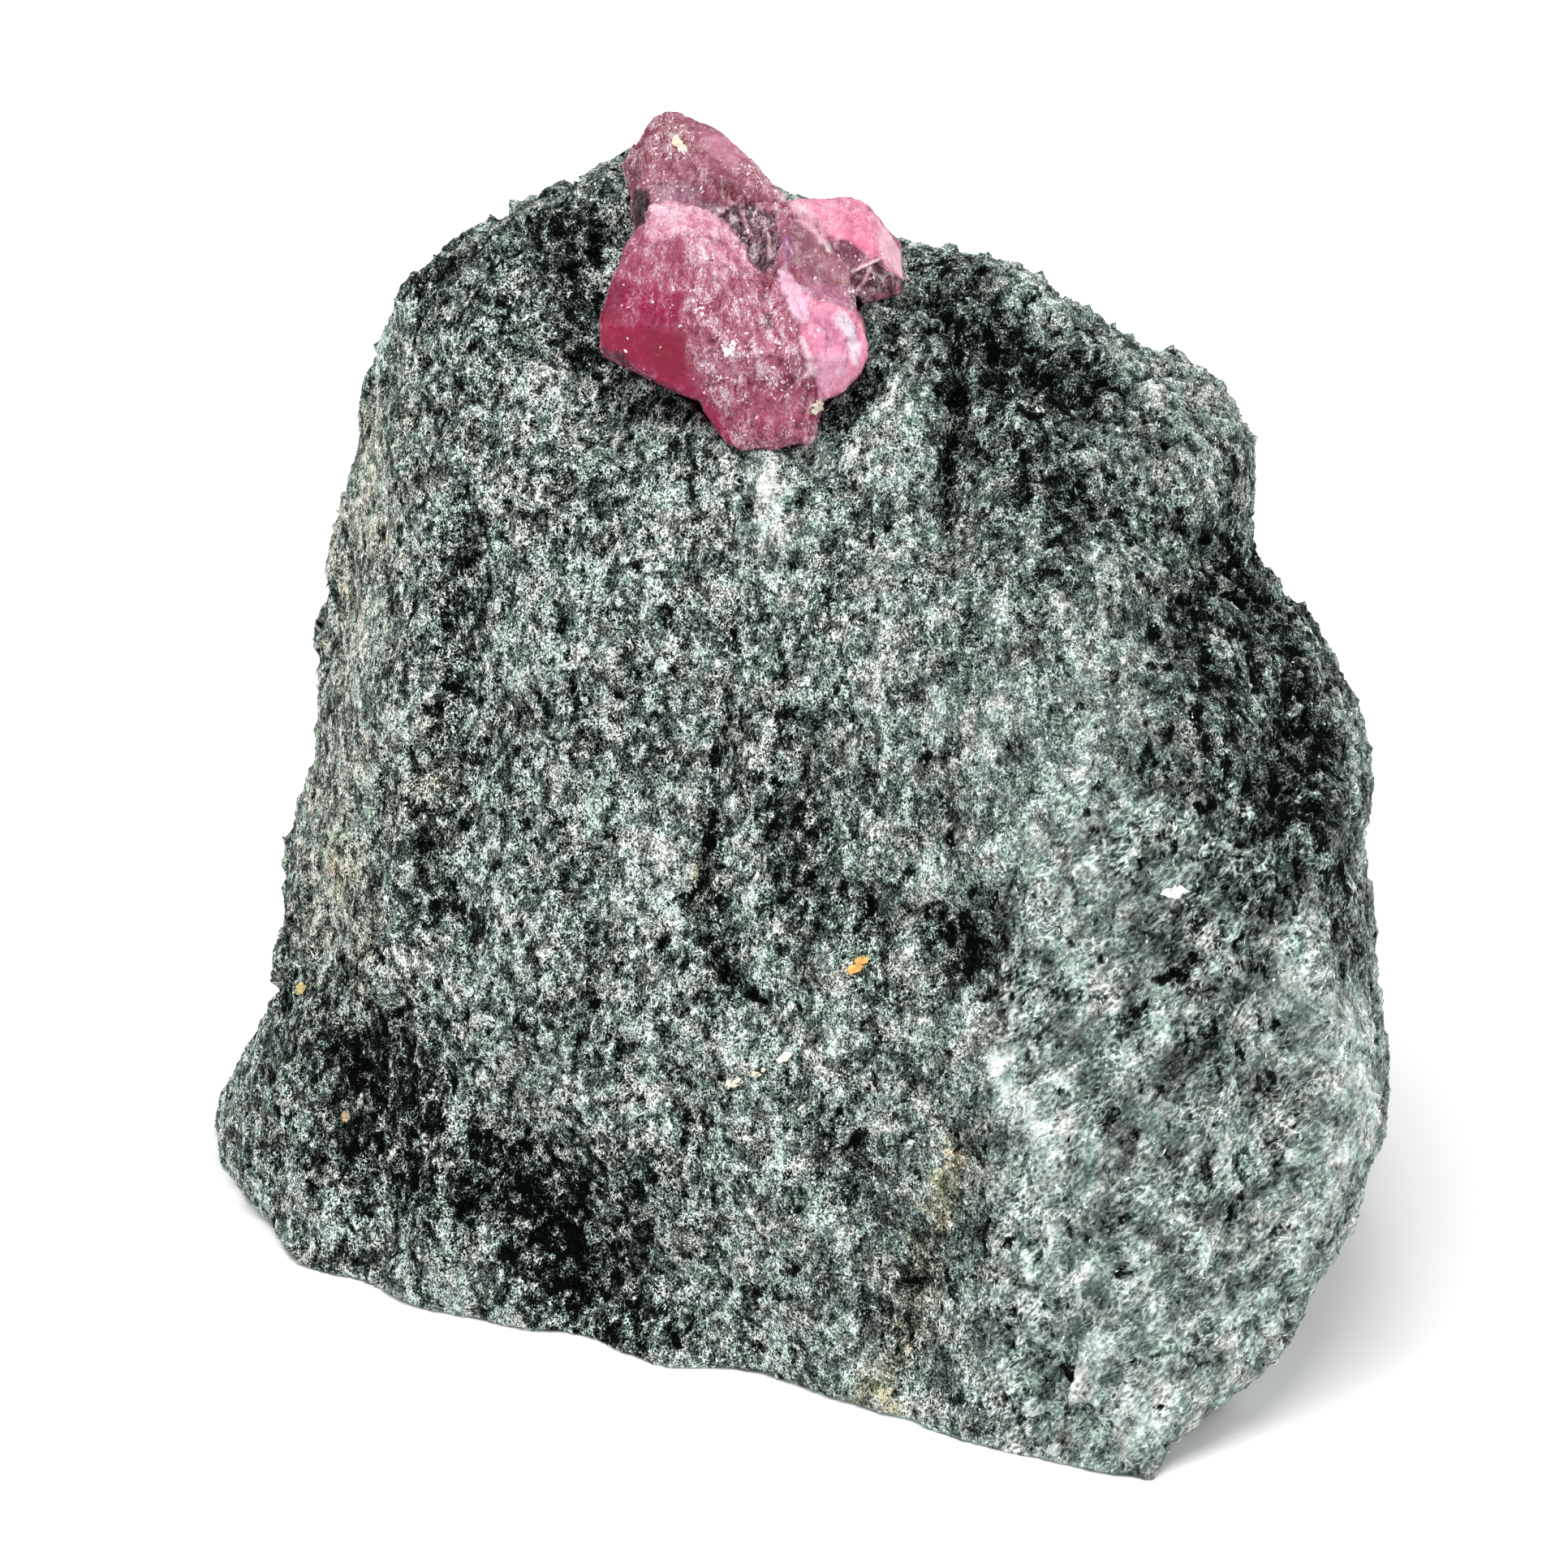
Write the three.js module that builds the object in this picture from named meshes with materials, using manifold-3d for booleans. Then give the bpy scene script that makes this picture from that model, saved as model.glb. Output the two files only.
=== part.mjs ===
// A ruby crystal group on a hand-sized block of dark green-grey mica schist.
// Millimetres, +Z up. The block stands on a flat broken base and its broad face leans back.
//
// The block is drawn in face coordinates: u runs to the right along the broad face, v runs
// up it from the floor, and w points out of it. One turn about X then leans the face back.
// The ruby group sits in a socket in the face's top edge and shows on both sides of it.

import * as THREE from "three";
import { ConvexGeometry } from "three/addons/geometries/ConvexGeometry.js";
import { ImprovedNoise } from "three/addons/math/ImprovedNoise.js";
import { mergeVertices } from "three/addons/utils/BufferGeometryUtils.js";
import Module from "manifold-3d";

const wasm = await Module();
wasm.setup();

// ---------------------------------------------------------------- driving dimensions

const FACE_LEAN = THREE.MathUtils.degToRad(26); // the broad face leans back from upright
const SOCKET_GAP = 0.3; // clearance between the ruby and its socket
const BALL_INRADIUS = 0.79; // how far in the flat sides of an icosahedron of radius 1 lie
const SPHERE_DETAIL = 21; // subdivisions of the sphere that becomes the block

const BLOCK_CENTRE = [3, 30]; // u, v that every point of the rim can be seen from
const BLOCK_CORE = -13; // w of the point inside the block that the fractures are seen from
const BACK_DEPTH = 44; // the furthest that the back reaches behind the floor line
const WIDENING = 0.0024; // the rim's growth for each millimetre that it lies behind w = 0
const FRONT_SHARE = 0.35; // draws the mesh's points towards the face, where the detail is
const BEYOND = 200; // a box this large reaches past the whole specimen

// The rim that parts the face from the back: u, v, w. The floor cuts off its lowest points.
const RIM = [
  [-8.6, 65.2, -7], [-11.6, 63.7, -7], [-14.2, 62.2, -8], [-16.3, 61.4, -9],
  [-18.4, 60.2, -10], [-19.8, 58.7, -11], [-20.8, 56.9, -12], [-21.6, 54.2, -13],
  [-22.8, 50, -14], [-24.2, 45.3, -15], [-25.2, 39.7, -16], [-24.9, 35.7, -16],
  [-24.9, 32.3, -16.5], [-26.1, 27, -17], [-27, 22.6, -18], [-26.9, 20.8, -18.5],
  [-28.6, 18.7, -19], [-30.3, 16.2, -20], [-31.2, 12.5, -20.5], [-30.9, 10.8, -20],
  [-27.4, 7.6, -14], [-26.2, 4.3, -10.5], [-24, -4, -8], [-18, -12, -5], [0, -16, 0],
  [15, -15, 5], [19.5, -8, 9], [20, -5, 9.5], [23, -1.7, 7], [25.6, 1, 4],
  [27.5, 3.6, 1.5], [29.2, 6.2, -1], [30.5, 9.2, -3], [31.9, 13.6, -5], [31.9, 17, -6],
  [31, 21.8, -6.5], [30.5, 27.9, -7], [30.9, 31, -7.5], [30.6, 36, -8], [29.7, 38.4, -8],
  [27.9, 40.4, -8], [26.1, 42.1, -8], [24.8, 43.9, -8], [24.8, 46.4, -8.5], [25.2, 49.5, -9],
  [24, 52.4, -9], [22, 54, -9], [19.2, 55.4, -9], [16.9, 56.2, -8.5], [14, 58, -8],
  [11, 59.8, -7], [7.1, 61, -7], [3, 62, -8], [0.4, 62.8, -8.5], [-4, 65, -9],
  [-7.2, 66, -8.5],
];

// How square the block is between its rim and its face, by the compass direction of the
// rim: a small number rounds it off into a sloping flank, a large one leaves it blocky.
const SQUARENESS = { right: 3.4, top: 3.4, left: 2.6, bottom: 4.5 };
const BACK_SQUARENESS = 5;

// The broad face without its relief. It slopes to the left, less so towards its top, swells
// in the middle, and turns away past its right shoulder.
const FACE_HEIGHT = 60; // v of its top edge
const FACE_FOOT = 1.2; // w at the middle of the floor line
const FACE_SLOPE = { foot: 0.46, top: 0.2 }; // w gained for each millimetre to the right
const FACE_SWELL = 3.8; // how far its middle stands out
const SHOULDER = { from: 19, slope: 0.25, fall: 0.02 }; // u where it starts to turn away, and how

// Relief on the face: a path of u, v points, the relief's half width, and its height
// (negative where it is cut in). Ridges follow the foliation, which runs up the face.
const FACE_RELIEF = [
  { name: "shoulder ridge", half: 2.2, height: 1.5,
    path: [[-17.5, 58], [-19.3, 48], [-20, 38], [-20.4, 28], [-21.5, 21]] },
  { name: "furrow inside the shoulder", half: 1.7, height: -1.3,
    path: [[-17.8, 45], [-17.4, 38], [-18.6, 32], [-18.9, 26]] },
  { name: "fold beside the furrow", half: 2.4, height: 0.8,
    path: [[-13, 58], [-13.6, 46], [-12.5, 34], [-12.5, 24]] },
  { name: "hollow left of the ruby", half: 2.6, height: -2.3,
    path: [[-8.6, 64], [-10.4, 58.5], [-9.6, 52.5]] },
  { name: "hollow right of the ruby", half: 1.6, height: -1.3,
    path: [[7.2, 59.5], [4.4, 55], [2.4, 50.4]] },
  { name: "boss under the ruby", half: 1.9, height: 1.5,
    path: [[-1.1, 47.8], [-0.7, 45.2]] },
  { name: "crack right of the ruby", half: 1.7, height: -1.7,
    path: [[9.2, 57.6], [9.4, 52.5], [8.8, 48], [8.4, 45]] },
  { name: "swell beside the crack", half: 2.3, height: 1.1,
    path: [[6.2, 55.5], [6.4, 50]] },
  { name: "recess under the top ledge", half: 2.3, height: -2.3,
    path: [[12, 56.2], [15.2, 54.3], [18, 51.8]] },
  { name: "ledge over the recess", half: 1.8, height: 1.2,
    path: [[11, 59.2], [15.5, 57], [20.5, 53.6]] },
  { name: "groove under the right shoulder", half: 2.2, height: -2.4,
    path: [[17.5, 47.2], [21, 44.8], [24.4, 42.6], [26.6, 38.8], [27.4, 34]] },
  { name: "right shoulder", half: 3.4, height: 1.3,
    path: [[18, 51], [22.5, 48.6]] },
  { name: "middle seam", half: 1.6, height: -1.1,
    path: [[-2.9, 46], [-2.7, 37], [-3.9, 30.5], [-4.5, 25.6], [-3.1, 22], [-1, 20.4]] },
  { name: "scar beside the seam", half: 3, height: -0.8,
    path: [[0.4, 30.5], [0.4, 25.5]] },
  { name: "swell of the middle", half: 8, height: 1.7,
    path: [[12.5, 38], [15, 30]] },
  { name: "pit in the middle", half: 1.7, height: -1.4,
    path: [[8.8, 25], [9.4, 22.6]] },
  { name: "fan below the pit", half: 1.7, height: 0.8,
    path: [[10.5, 20.6], [11.8, 15.2], [15.8, 11]] },
  { name: "pit low in the middle", half: 1.6, height: -0.9,
    path: [[7.4, 6.6], [6.2, 3.2]] },
  { name: "lower left hollow", half: 2.6, height: -1.8,
    path: [[-23, 18.5], [-23.8, 12.5], [-23.2, 6.5]] },
  { name: "hollow above the base", half: 3, height: -1.7,
    path: [[-15.5, 13.5], [-12, 9.5], [-9, 4.5]] },
  { name: "rib between the hollows", half: 1.8, height: 1.2,
    path: [[-19.5, 14], [-19, 7]] },
  { name: "left foot", half: 2.6, height: 1.3, path: [[-7.6, 1], [-8, -2]] },
  { name: "dip in the foot", half: 2.6, height: -1.2, path: [[-0.5, 1.5], [0.5, -2]] },
  { name: "right foot", half: 3, height: 1.2, path: [[9.5, -1], [10, -5]] },
  { name: "lower right rim", half: 2.6, height: 1.5,
    path: [[28.6, 22], [29.8, 15.5], [28.8, 8]] },
  { name: "groove inside the rim", half: 2, height: -1.1,
    path: [[25, 24], [26.2, 16], [24.6, 9]] },
];

// Lumps over the smooth shape: their height, their size across the foliation, how far they are
// drawn out along it, and the place in the noise that they are read from.
const FACE_LUMPS = [
  { height: 0.9, size: 11, stretch: 1.6, seed: 3.7 },
  { height: 0.7, size: 4.3, stretch: 1.9, seed: 8.1 },
];
const BACK_LUMPS = { height: 1.6, size: 13, stretch: 1.3, seed: 5.2 };
const BACK_LEDGES = { height: 0.9, size: 7, stretch: 2.2, seed: 1.3 };
const BACK_TO_FACE = [-0.1, 0.3]; // where the back's lumps give way to the face's, by direction
const FACE_PULL = 2; // how strongly the lumps rise out of the face and not sideways

// Broken faces that bound the block on the sides, top and back: a point on each, in X, Y, Z
// from the middle of the floor line, and the direction that it faces.
const FRACTURES = [
  { at: [-19.6, 29.5, 47.9], facing: [-0.87, -0.4, 0.29] },
  { at: [-8, 37, 20], facing: [-0.2, 0.97, -0.1] },
  { at: [18, 36, 26], facing: [0.34, 0.93, 0.06] },
  { at: [2, 41, 50], facing: [0.05, 0.92, 0.38] },
  { at: [-29.5, 29, 34], facing: [-0.84, 0.53, 0.08] },
  { at: [32, 19, 22], facing: [0.88, 0.46, 0.02] },
  { at: [24, 34, 44], facing: [0.62, 0.6, 0.5] },
  { at: [-19, 40, 51], facing: [-0.42, 0.78, 0.46] },
  { at: [10, 38, 36], facing: [0.1, 0.99, -0.12] },
  { at: [27, 29, 10], facing: [0.7, 0.66, -0.28] },
  { at: [4, 35, 5], facing: [0.04, 0.98, -0.2] },
];
const FRACTURE_ROUNDING = 0.025; // share of the distance to a fracture that its edges round over

// The ruby group. Each crystal is a prism, its outline in u, v, that runs from its back w to
// its front w, and is then cut by its facets: a point on each, and the direction it faces.
const CRYSTALS = [
  { name: "body", back: -8, front: 7,
    outline: [[-7, 62.9], [-4.5, 62.6], [-3, 61.7], [-1.4, 59.3], [0.2, 57.4], [0.5, 54.2],
      [-0.2, 52.2], [-5, 52.6], [-7, 53.7], [-9, 54.7], [-9.8, 55.1], [-9.8, 56.8],
      [-9.4, 57.5], [-8.5, 60.6], [-7.3, 61.8]],
    facets: [
      { at: [-5.6, 62.4, 3.2], facing: [0.06, 0.72, 0.69] },
      { at: [-2.3, 60.6, 3.2], facing: [0.58, 0.42, 0.7] },
      { at: [-8.2, 61, 2.9], facing: [-0.62, 0.34, 0.7] },
      { at: [-5.2, 58, 5.1], facing: [-0.4, 0.12, 0.91] },
      { at: [-5.6, 55.4, 4.7], facing: [-0.36, -0.44, 0.82] },
      { at: [-3, 57.4, 5.4], facing: [0.08, 0.14, 0.99] },
      { at: [-0.6, 57, 5], facing: [0.5, 0.16, 0.85] },
      { at: [-3.2, 53.6, 5], facing: [-0.1, -0.4, 0.91] },
    ] },
  { name: "right face", back: -6, front: 7,
    outline: [[-0.6, 59], [1.5, 58], [3.8, 57.4], [4.2, 56.7], [4.5, 54.9], [3.9, 53.6],
      [2.8, 52.7], [1.8, 52.3], [-1, 52.2], [-1.6, 55]],
    facets: [
      { at: [1.4, 55.8, 4.8], facing: [0.34, 0.16, 0.93] },
      { at: [3.4, 55.6, 3.8], facing: [0.7, 0.22, 0.68] },
      { at: [2.2, 53.8, 4.2], facing: [0.3, -0.5, 0.81] },
      { at: [0.4, 57.6, 4.6], facing: [-0.1, 0.5, 0.86] },
    ] },
  { name: "tongue", back: -5, front: 7,
    outline: [[-5, 54.2], [-2.9, 54.8], [0, 54.8], [2, 53.6], [1.9, 52], [1.6, 50.3],
      [-0.3, 49.8], [-2.4, 49.8], [-3.2, 50.3], [-4.2, 51.8]],
    facets: [
      { at: [-1, 53.8, 4.9], facing: [0.06, -0.26, 0.96] },
      { at: [-3, 52.4, 4.4], facing: [-0.58, -0.36, 0.73] },
      { at: [1, 51.6, 4.1], facing: [0.56, -0.18, 0.81] },
      { at: [-1, 50.2, 3.7], facing: [0, -0.72, 0.69] },
    ] },
  { name: "upper", back: -8, front: 4,
    outline: [[-7.9, 61.4], [-8.4, 64.6], [-8.6, 65.3], [-7.7, 66.8], [-7.2, 67.7],
      [-6.3, 68.2], [-5.6, 68.2], [-5, 67.7], [-3.7, 67.3], [-2.7, 66.5], [-1.8, 65.4],
      [-0.9, 64.3], [0, 63.6], [0.1, 62.6], [-1.6, 59.2], [-5, 59.6]],
    facets: [
      { at: [-6, 66, -0.7], facing: [-0.22, 0.36, 0.91] },
      { at: [-3.4, 66, -0.8], facing: [0.5, 0.48, 0.72] },
      { at: [-4.8, 64.2, 0.2], facing: [0.05, -0.12, 0.99] },
      { at: [-7.7, 63.4, -0.6], facing: [-0.82, 0.1, 0.56] },
      { at: [-1.2, 63.4, -0.8], facing: [0.4, 0.16, 0.9] },
      { at: [-7.6, 67, -2.4], facing: [-0.62, 0.62, 0.48] },
      { at: [-5.6, 68, -2.6], facing: [0.2, 0.86, 0.47] },
      { at: [-5, 67.6, -6.8], facing: [-0.1, 0.6, -0.79] },
    ] },
  { name: "hollow", back: -8, front: 3,
    outline: [[-4.4, 63.2], [-1.8, 63.4], [0.4, 62.8], [0.6, 59], [-1.6, 58], [-4, 60.6]],
    facets: [
      { at: [-2.4, 61.6, 0.9], facing: [0.16, 0.3, 0.94] },
      { at: [-0.6, 61, 0.6], facing: [-0.5, 0.24, 0.83] },
    ] },
  { name: "right top", back: -8, front: 3,
    outline: [[-0.5, 63.2], [1.5, 63.1], [2.4, 63.5], [3.7, 63.5], [4.5, 63.1], [5, 62.3],
      [5.7, 61.5], [6.2, 61], [6.4, 59], [3.4, 59], [1.2, 60], [-0.5, 61.6]],
    facets: [
      { at: [3.6, 62, 0.2], facing: [0.1, 0.3, 0.95] },
      { at: [1.4, 62.2, 0], facing: [-0.5, -0.3, 0.81] },
      { at: [5.3, 61.2, -0.2], facing: [0.74, 0.2, 0.64] },
      { at: [3.4, 63.3, -1.2], facing: [0.1, 0.8, 0.59] },
      { at: [4, 62.8, -7], facing: [0.3, 0.5, -0.81] },
    ] },
  { name: "corner", back: -7, front: 5,
    outline: [[-1, 61.6], [-0.2, 62.2], [0.9, 62.1], [1.7, 61], [3.5, 59.5], [3.8, 57],
      [1.5, 56.8], [-1, 58.4]],
    facets: [
      { at: [1.4, 59.8, 2.7], facing: [0.34, 0.3, 0.89] },
      { at: [0.1, 60.2, 2.4], facing: [-0.62, 0.2, 0.76] },
      { at: [0.9, 61.4, 1.8], facing: [0.1, 0.74, 0.66] },
    ] },
  { name: "chip", back: -7, front: 3,
    outline: [[2.6, 61], [4.2, 60.4], [6.3, 59.1], [6.2, 58.2], [4.3, 57.8], [3.4, 58.7]],
    facets: [
      { at: [4.4, 59.4, 1.2], facing: [0.3, 0.5, 0.81] },
      { at: [4.6, 58.5, 1.2], facing: [0.2, -0.4, 0.9] },
    ] },
];
const SOCKET_REACH = 9; // how far in front of the crystals the block is cleared

// ---------------------------------------------------------------- solids

// A closed geometry as a solid that can be cut and joined.
function solidOf(geometry) {
  const bare = new THREE.BufferGeometry().setAttribute("position", geometry.getAttribute("position"));
  if (geometry.index) bare.setIndex(geometry.index);
  const merged = mergeVertices(bare, 1e-4);
  return new wasm.Manifold(
    new wasm.Mesh({
      numProp: 3,
      vertProperties: new Float32Array(merged.attributes.position.array),
      triVerts: new Uint32Array(merged.index.array),
    }),
  );
}

// A solid back as a flat-shaded geometry.
function geometryOf(solid) {
  const mesh = solid.getMesh();
  const geometry = new THREE.BufferGeometry();
  geometry.setAttribute("position", new THREE.BufferAttribute(mesh.vertProperties, 3));
  geometry.setIndex(new THREE.BufferAttribute(mesh.triVerts, 1));
  const flat = geometry.toNonIndexed();
  flat.computeVertexNormals();
  return flat;
}

// A solid box that fills the side of a plane that the plane faces.
function halfSpace(at, facing) {
  const box = new THREE.BoxGeometry(BEYOND, BEYOND, BEYOND).translate(0, 0, BEYOND / 2);
  const turn = new THREE.Quaternion().setFromUnitVectors(new THREE.Vector3(0, 0, 1), facing);
  return solidOf(box.applyQuaternion(turn).translate(at.x, at.y, at.z));
}

// Face coordinates u, v, w to the part's X, Y, Z.
function fromFace(u, v, w) {
  const sin = Math.sin(FACE_LEAN);
  const cos = Math.cos(FACE_LEAN);
  return new THREE.Vector3(u, v * sin - w * cos, v * cos + w * sin);
}

// ---------------------------------------------------------------- the block of schist

const noise = new ImprovedNoise();

// Smooth noise of one scale, its lumps drawn out along the foliation, which stands upright.
function lumps({ x, y, z }, { height, size, stretch, seed }) {
  return height * noise.noise(x / size + seed, y / size - seed, z / (size * stretch) + seed);
}

// Sharp-crested steps, as hackly broken rock has.
function ledges(point, ledge) {
  return 0.5 * ledge.height - 2 * Math.abs(lumps(point, ledge));
}

// The point of the rim in the direction of an angle: its distance from the centre and its w.
function rimAt(angle) {
  const [cu, cv] = BLOCK_CENTRE;
  const du = Math.cos(angle);
  const dv = Math.sin(angle);
  let rim = { radius: 0, depth: 0 };
  RIM.forEach(([au, av, aw], i) => {
    const [bu, bv, bw] = RIM[(i + 1) % RIM.length];
    const eu = bu - au;
    const ev = bv - av;
    const cross = du * ev - dv * eu;
    if (Math.abs(cross) < 1e-9) return;
    const radius = ((au - cu) * ev - (av - cv) * eu) / cross;
    const share = ((au - cu) * dv - (av - cv) * du) / cross;
    if (radius > rim.radius && share >= 0 && share <= 1)
      rim = { radius, depth: THREE.MathUtils.lerp(aw, bw, share) };
  });
  return rim;
}

// A value given for four directions, mixed for the direction of an angle.
function byDirection(values, angle) {
  const du = Math.cos(angle);
  const dv = Math.sin(angle);
  const across = du > 0 ? values.right : values.left;
  const up = dv > 0 ? values.top : values.bottom;
  return across * du * du + up * dv * dv;
}

// Shortest distance from a point to a path.
function distanceToPath(u, v, path) {
  let nearest = Infinity;
  for (let i = 0; i + 1 < path.length; i++) {
    const [au, av] = path[i];
    const [bu, bv] = path[i + 1];
    const eu = bu - au;
    const ev = bv - av;
    const share = THREE.MathUtils.clamp(((u - au) * eu + (v - av) * ev) / (eu * eu + ev * ev), 0, 1);
    nearest = Math.min(nearest, Math.hypot(u - au - share * eu, v - av - share * ev));
  }
  return nearest;
}

function faceDepth(u, v) {
  const up = THREE.MathUtils.clamp(v / FACE_HEIGHT, 0, 1);
  const slope = THREE.MathUtils.lerp(FACE_SLOPE.foot, FACE_SLOPE.top, up);
  const past = Math.max(0, u - SHOULDER.from);
  const turned = u - past + SHOULDER.slope * past;
  const swell = FACE_SWELL * Math.sin(Math.PI * up);
  return FACE_FOOT + slope * turned + swell - SHOULDER.fall * past * past * up;
}

function faceRelief(u, v) {
  return FACE_RELIEF.reduce((sum, { half, height, path }) => {
    const share = distanceToPath(u, v, path) / half;
    return sum + height * Math.exp(-share * share);
  }, 0);
}

// The back stands upright, so in face coordinates its depth follows its height.
function backDepth(v) {
  return (v * Math.sin(FACE_LEAN) - BACK_DEPTH) / Math.cos(FACE_LEAN);
}

// Pulls a point in along its line from the core, to the fractures that it lies outside of.
function behindFractures(point) {
  const core = fromFace(...BLOCK_CENTRE, BLOCK_CORE);
  const line = point.clone().sub(core);
  const sharp = 1 / FRACTURE_ROUNDING;
  let sum = 1;
  for (const { at, facing } of FRACTURES) {
    const normal = new THREE.Vector3(...facing).normalize();
    const limit = new THREE.Vector3(...at).sub(core).dot(normal);
    const share = Math.max(0, line.dot(normal) / limit);
    sum += Math.pow(share, sharp);
  }
  return core.addScaledVector(line, Math.pow(sum, -1 / sharp));
}

// Where a point of the unit sphere goes on the block, without its fine relief.
function blockPoint({ x, y, z }) {
  const angle = Math.atan2(y, x);
  const flat = Math.hypot(x, y);
  const power = z > 0 ? byDirection(SQUARENESS, angle) : BACK_SQUARENESS;
  const size = Math.pow(Math.pow(flat, power) + Math.pow(Math.abs(z), power), 1 / power);
  const rim = rimAt(angle);
  const reach = (flat / size) * rim.radius * (1 - WIDENING * rim.depth);
  const u = BLOCK_CENTRE[0] + reach * Math.cos(angle);
  const v = BLOCK_CENTRE[1] + reach * Math.sin(angle);
  const target = z > 0 ? faceDepth(u, v) + faceRelief(u, v) : backDepth(v);
  const w = THREE.MathUtils.lerp(rim.depth, target, Math.abs(z) / size);
  return behindFractures(fromFace(u, v, w));
}

// Height of the block's lumps over the smooth shape: the broken back is rougher than the face.
function roughness(point, direction) {
  const face = FACE_LUMPS.reduce((sum, lump) => sum + lumps(point, lump), 0);
  const back = lumps(point, BACK_LUMPS) + ledges(point, BACK_LEDGES);
  return THREE.MathUtils.lerp(back, face, THREE.MathUtils.smoothstep(direction.z, ...BACK_TO_FACE));
}

function blockGeometry() {
  const geometry = new THREE.IcosahedronGeometry(1, SPHERE_DETAIL);
  const position = geometry.getAttribute("position");
  const direction = new THREE.Vector3();
  for (let i = 0; i < position.count; i++) {
    direction.fromBufferAttribute(position, i).normalize();
    direction.z += FRONT_SHARE;
    direction.normalize();
    const point = blockPoint(direction);
    const outward = fromFace(direction.x, direction.y, direction.z * FACE_PULL).normalize();
    point.addScaledVector(outward, roughness(point, direction));
    position.setXYZ(i, point.x, point.y, point.z);
  }
  return geometry;
}

// ---------------------------------------------------------------- the ruby group

function crystal({ outline, back, front, facets }) {
  const corners = outline.flatMap(([u, v]) => [fromFace(u, v, back), fromFace(u, v, front)]);
  return facets.reduce(
    (solid, { at, facing }) =>
      solid.subtract(halfSpace(fromFace(...at), fromFace(...facing).normalize())),
    solidOf(new ConvexGeometry(corners)),
  );
}

function cornersOf(solid) {
  const { vertProperties: values } = solid.getMesh();
  return Array.from({ length: values.length / 3 }, (_, i) =>
    new THREE.Vector3().fromArray(values, i * 3),
  );
}

// The room that a convex crystal takes in the block: it fits round it with a clearance, and
// opens straight out of the face in front of it.
function socketFor(solid) {
  const ball = new THREE.IcosahedronGeometry(SOCKET_GAP / BALL_INRADIUS, 0);
  const around = ball.getAttribute("position");
  const outward = fromFace(0, 0, SOCKET_REACH);
  const points = cornersOf(solid).flatMap((corner) =>
    Array.from({ length: around.count }, (_, i) => {
      const near = new THREE.Vector3().fromBufferAttribute(around, i).add(corner);
      return [near, near.clone().add(outward)];
    }).flat(),
  );
  return solidOf(new ConvexGeometry(points));
}

// ---------------------------------------------------------------- the part

const floor = halfSpace(new THREE.Vector3(0, 0, 0), new THREE.Vector3(0, 0, -1));
const crystals = CRYSTALS.map(crystal);
const join = (solids) => solids.reduce((all, next) => all.add(next));
const ruby = join(crystals);
const socket = join(crystals.map(socketFor));

const block = solidOf(blockGeometry()).subtract(floor).subtract(socket);

const schist = new THREE.MeshStandardMaterial({ color: 0x6f7b75, roughness: 0.75, metalness: 0 });
const corundum = new THREE.MeshStandardMaterial({ color: 0xc0607c, roughness: 0.3, metalness: 0 });

function piece(name, solid, material) {
  const mesh = new THREE.Mesh(geometryOf(solid), material);
  mesh.name = name;
  return mesh;
}

const specimen = new THREE.Group();
specimen.name = "ruby_on_matrix";
specimen.add(piece("matrix", block, schist));
specimen.add(piece("ruby", ruby, corundum));

// The origin is the middle of the box round the whole specimen, at its base.
const bounds = new THREE.Box3().setFromObject(specimen);
const middle = bounds.getCenter(new THREE.Vector3());
specimen.position.set(-middle.x, -middle.y, -bounds.min.z);

export default specimen;
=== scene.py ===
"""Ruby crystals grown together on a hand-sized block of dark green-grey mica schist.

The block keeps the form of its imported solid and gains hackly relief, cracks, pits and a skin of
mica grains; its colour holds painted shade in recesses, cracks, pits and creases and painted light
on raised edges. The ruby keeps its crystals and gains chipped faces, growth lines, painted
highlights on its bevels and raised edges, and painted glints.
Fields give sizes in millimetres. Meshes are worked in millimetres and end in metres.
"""

from __future__ import annotations

import logging
import math
from collections.abc import Sequence
from dataclasses import dataclass, field
from enum import Enum

import bmesh
import bpy
import numpy as np
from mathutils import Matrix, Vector, noise
from mathutils.bvhtree import BVHTree


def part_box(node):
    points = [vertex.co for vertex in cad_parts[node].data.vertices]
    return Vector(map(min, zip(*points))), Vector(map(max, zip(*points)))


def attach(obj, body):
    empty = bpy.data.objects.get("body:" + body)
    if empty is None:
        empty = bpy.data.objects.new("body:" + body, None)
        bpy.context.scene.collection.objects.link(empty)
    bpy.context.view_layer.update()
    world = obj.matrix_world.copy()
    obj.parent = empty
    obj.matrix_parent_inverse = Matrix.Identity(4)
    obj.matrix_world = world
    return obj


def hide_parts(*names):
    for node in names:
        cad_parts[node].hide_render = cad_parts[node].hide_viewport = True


LOG = logging.getLogger("ruby_on_matrix")

MM = 0.001  # one millimetre, in metres
TINY = 1e-9  # stands in for 0 under a division
WELD = 1e-6  # metres within which two corners of a solid are one
FADED = 3.0  # half widths from its path at which a stroke has ended
NOISE_RANGE = (0.3, 0.7)  # between which most values of a noise lie
# Painted edge light and crease shade: a raised edge lightens the rock, a crease darkens it.
PAINTED_EDGE_LIGHT_GAIN = 0.45  # how much a raised edge lightens the rock
FLAKE_CORNERS = 6
BODY = "root"

Point = tuple[float, ...]
Range = tuple[float, float]
Colour = tuple[float, float, float]
Stops = tuple[tuple[float, Colour], ...]
Given = bpy.types.NodeSocket | float | Sequence[float]


# ------------------------------------------------------------------ places on the broad face


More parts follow.
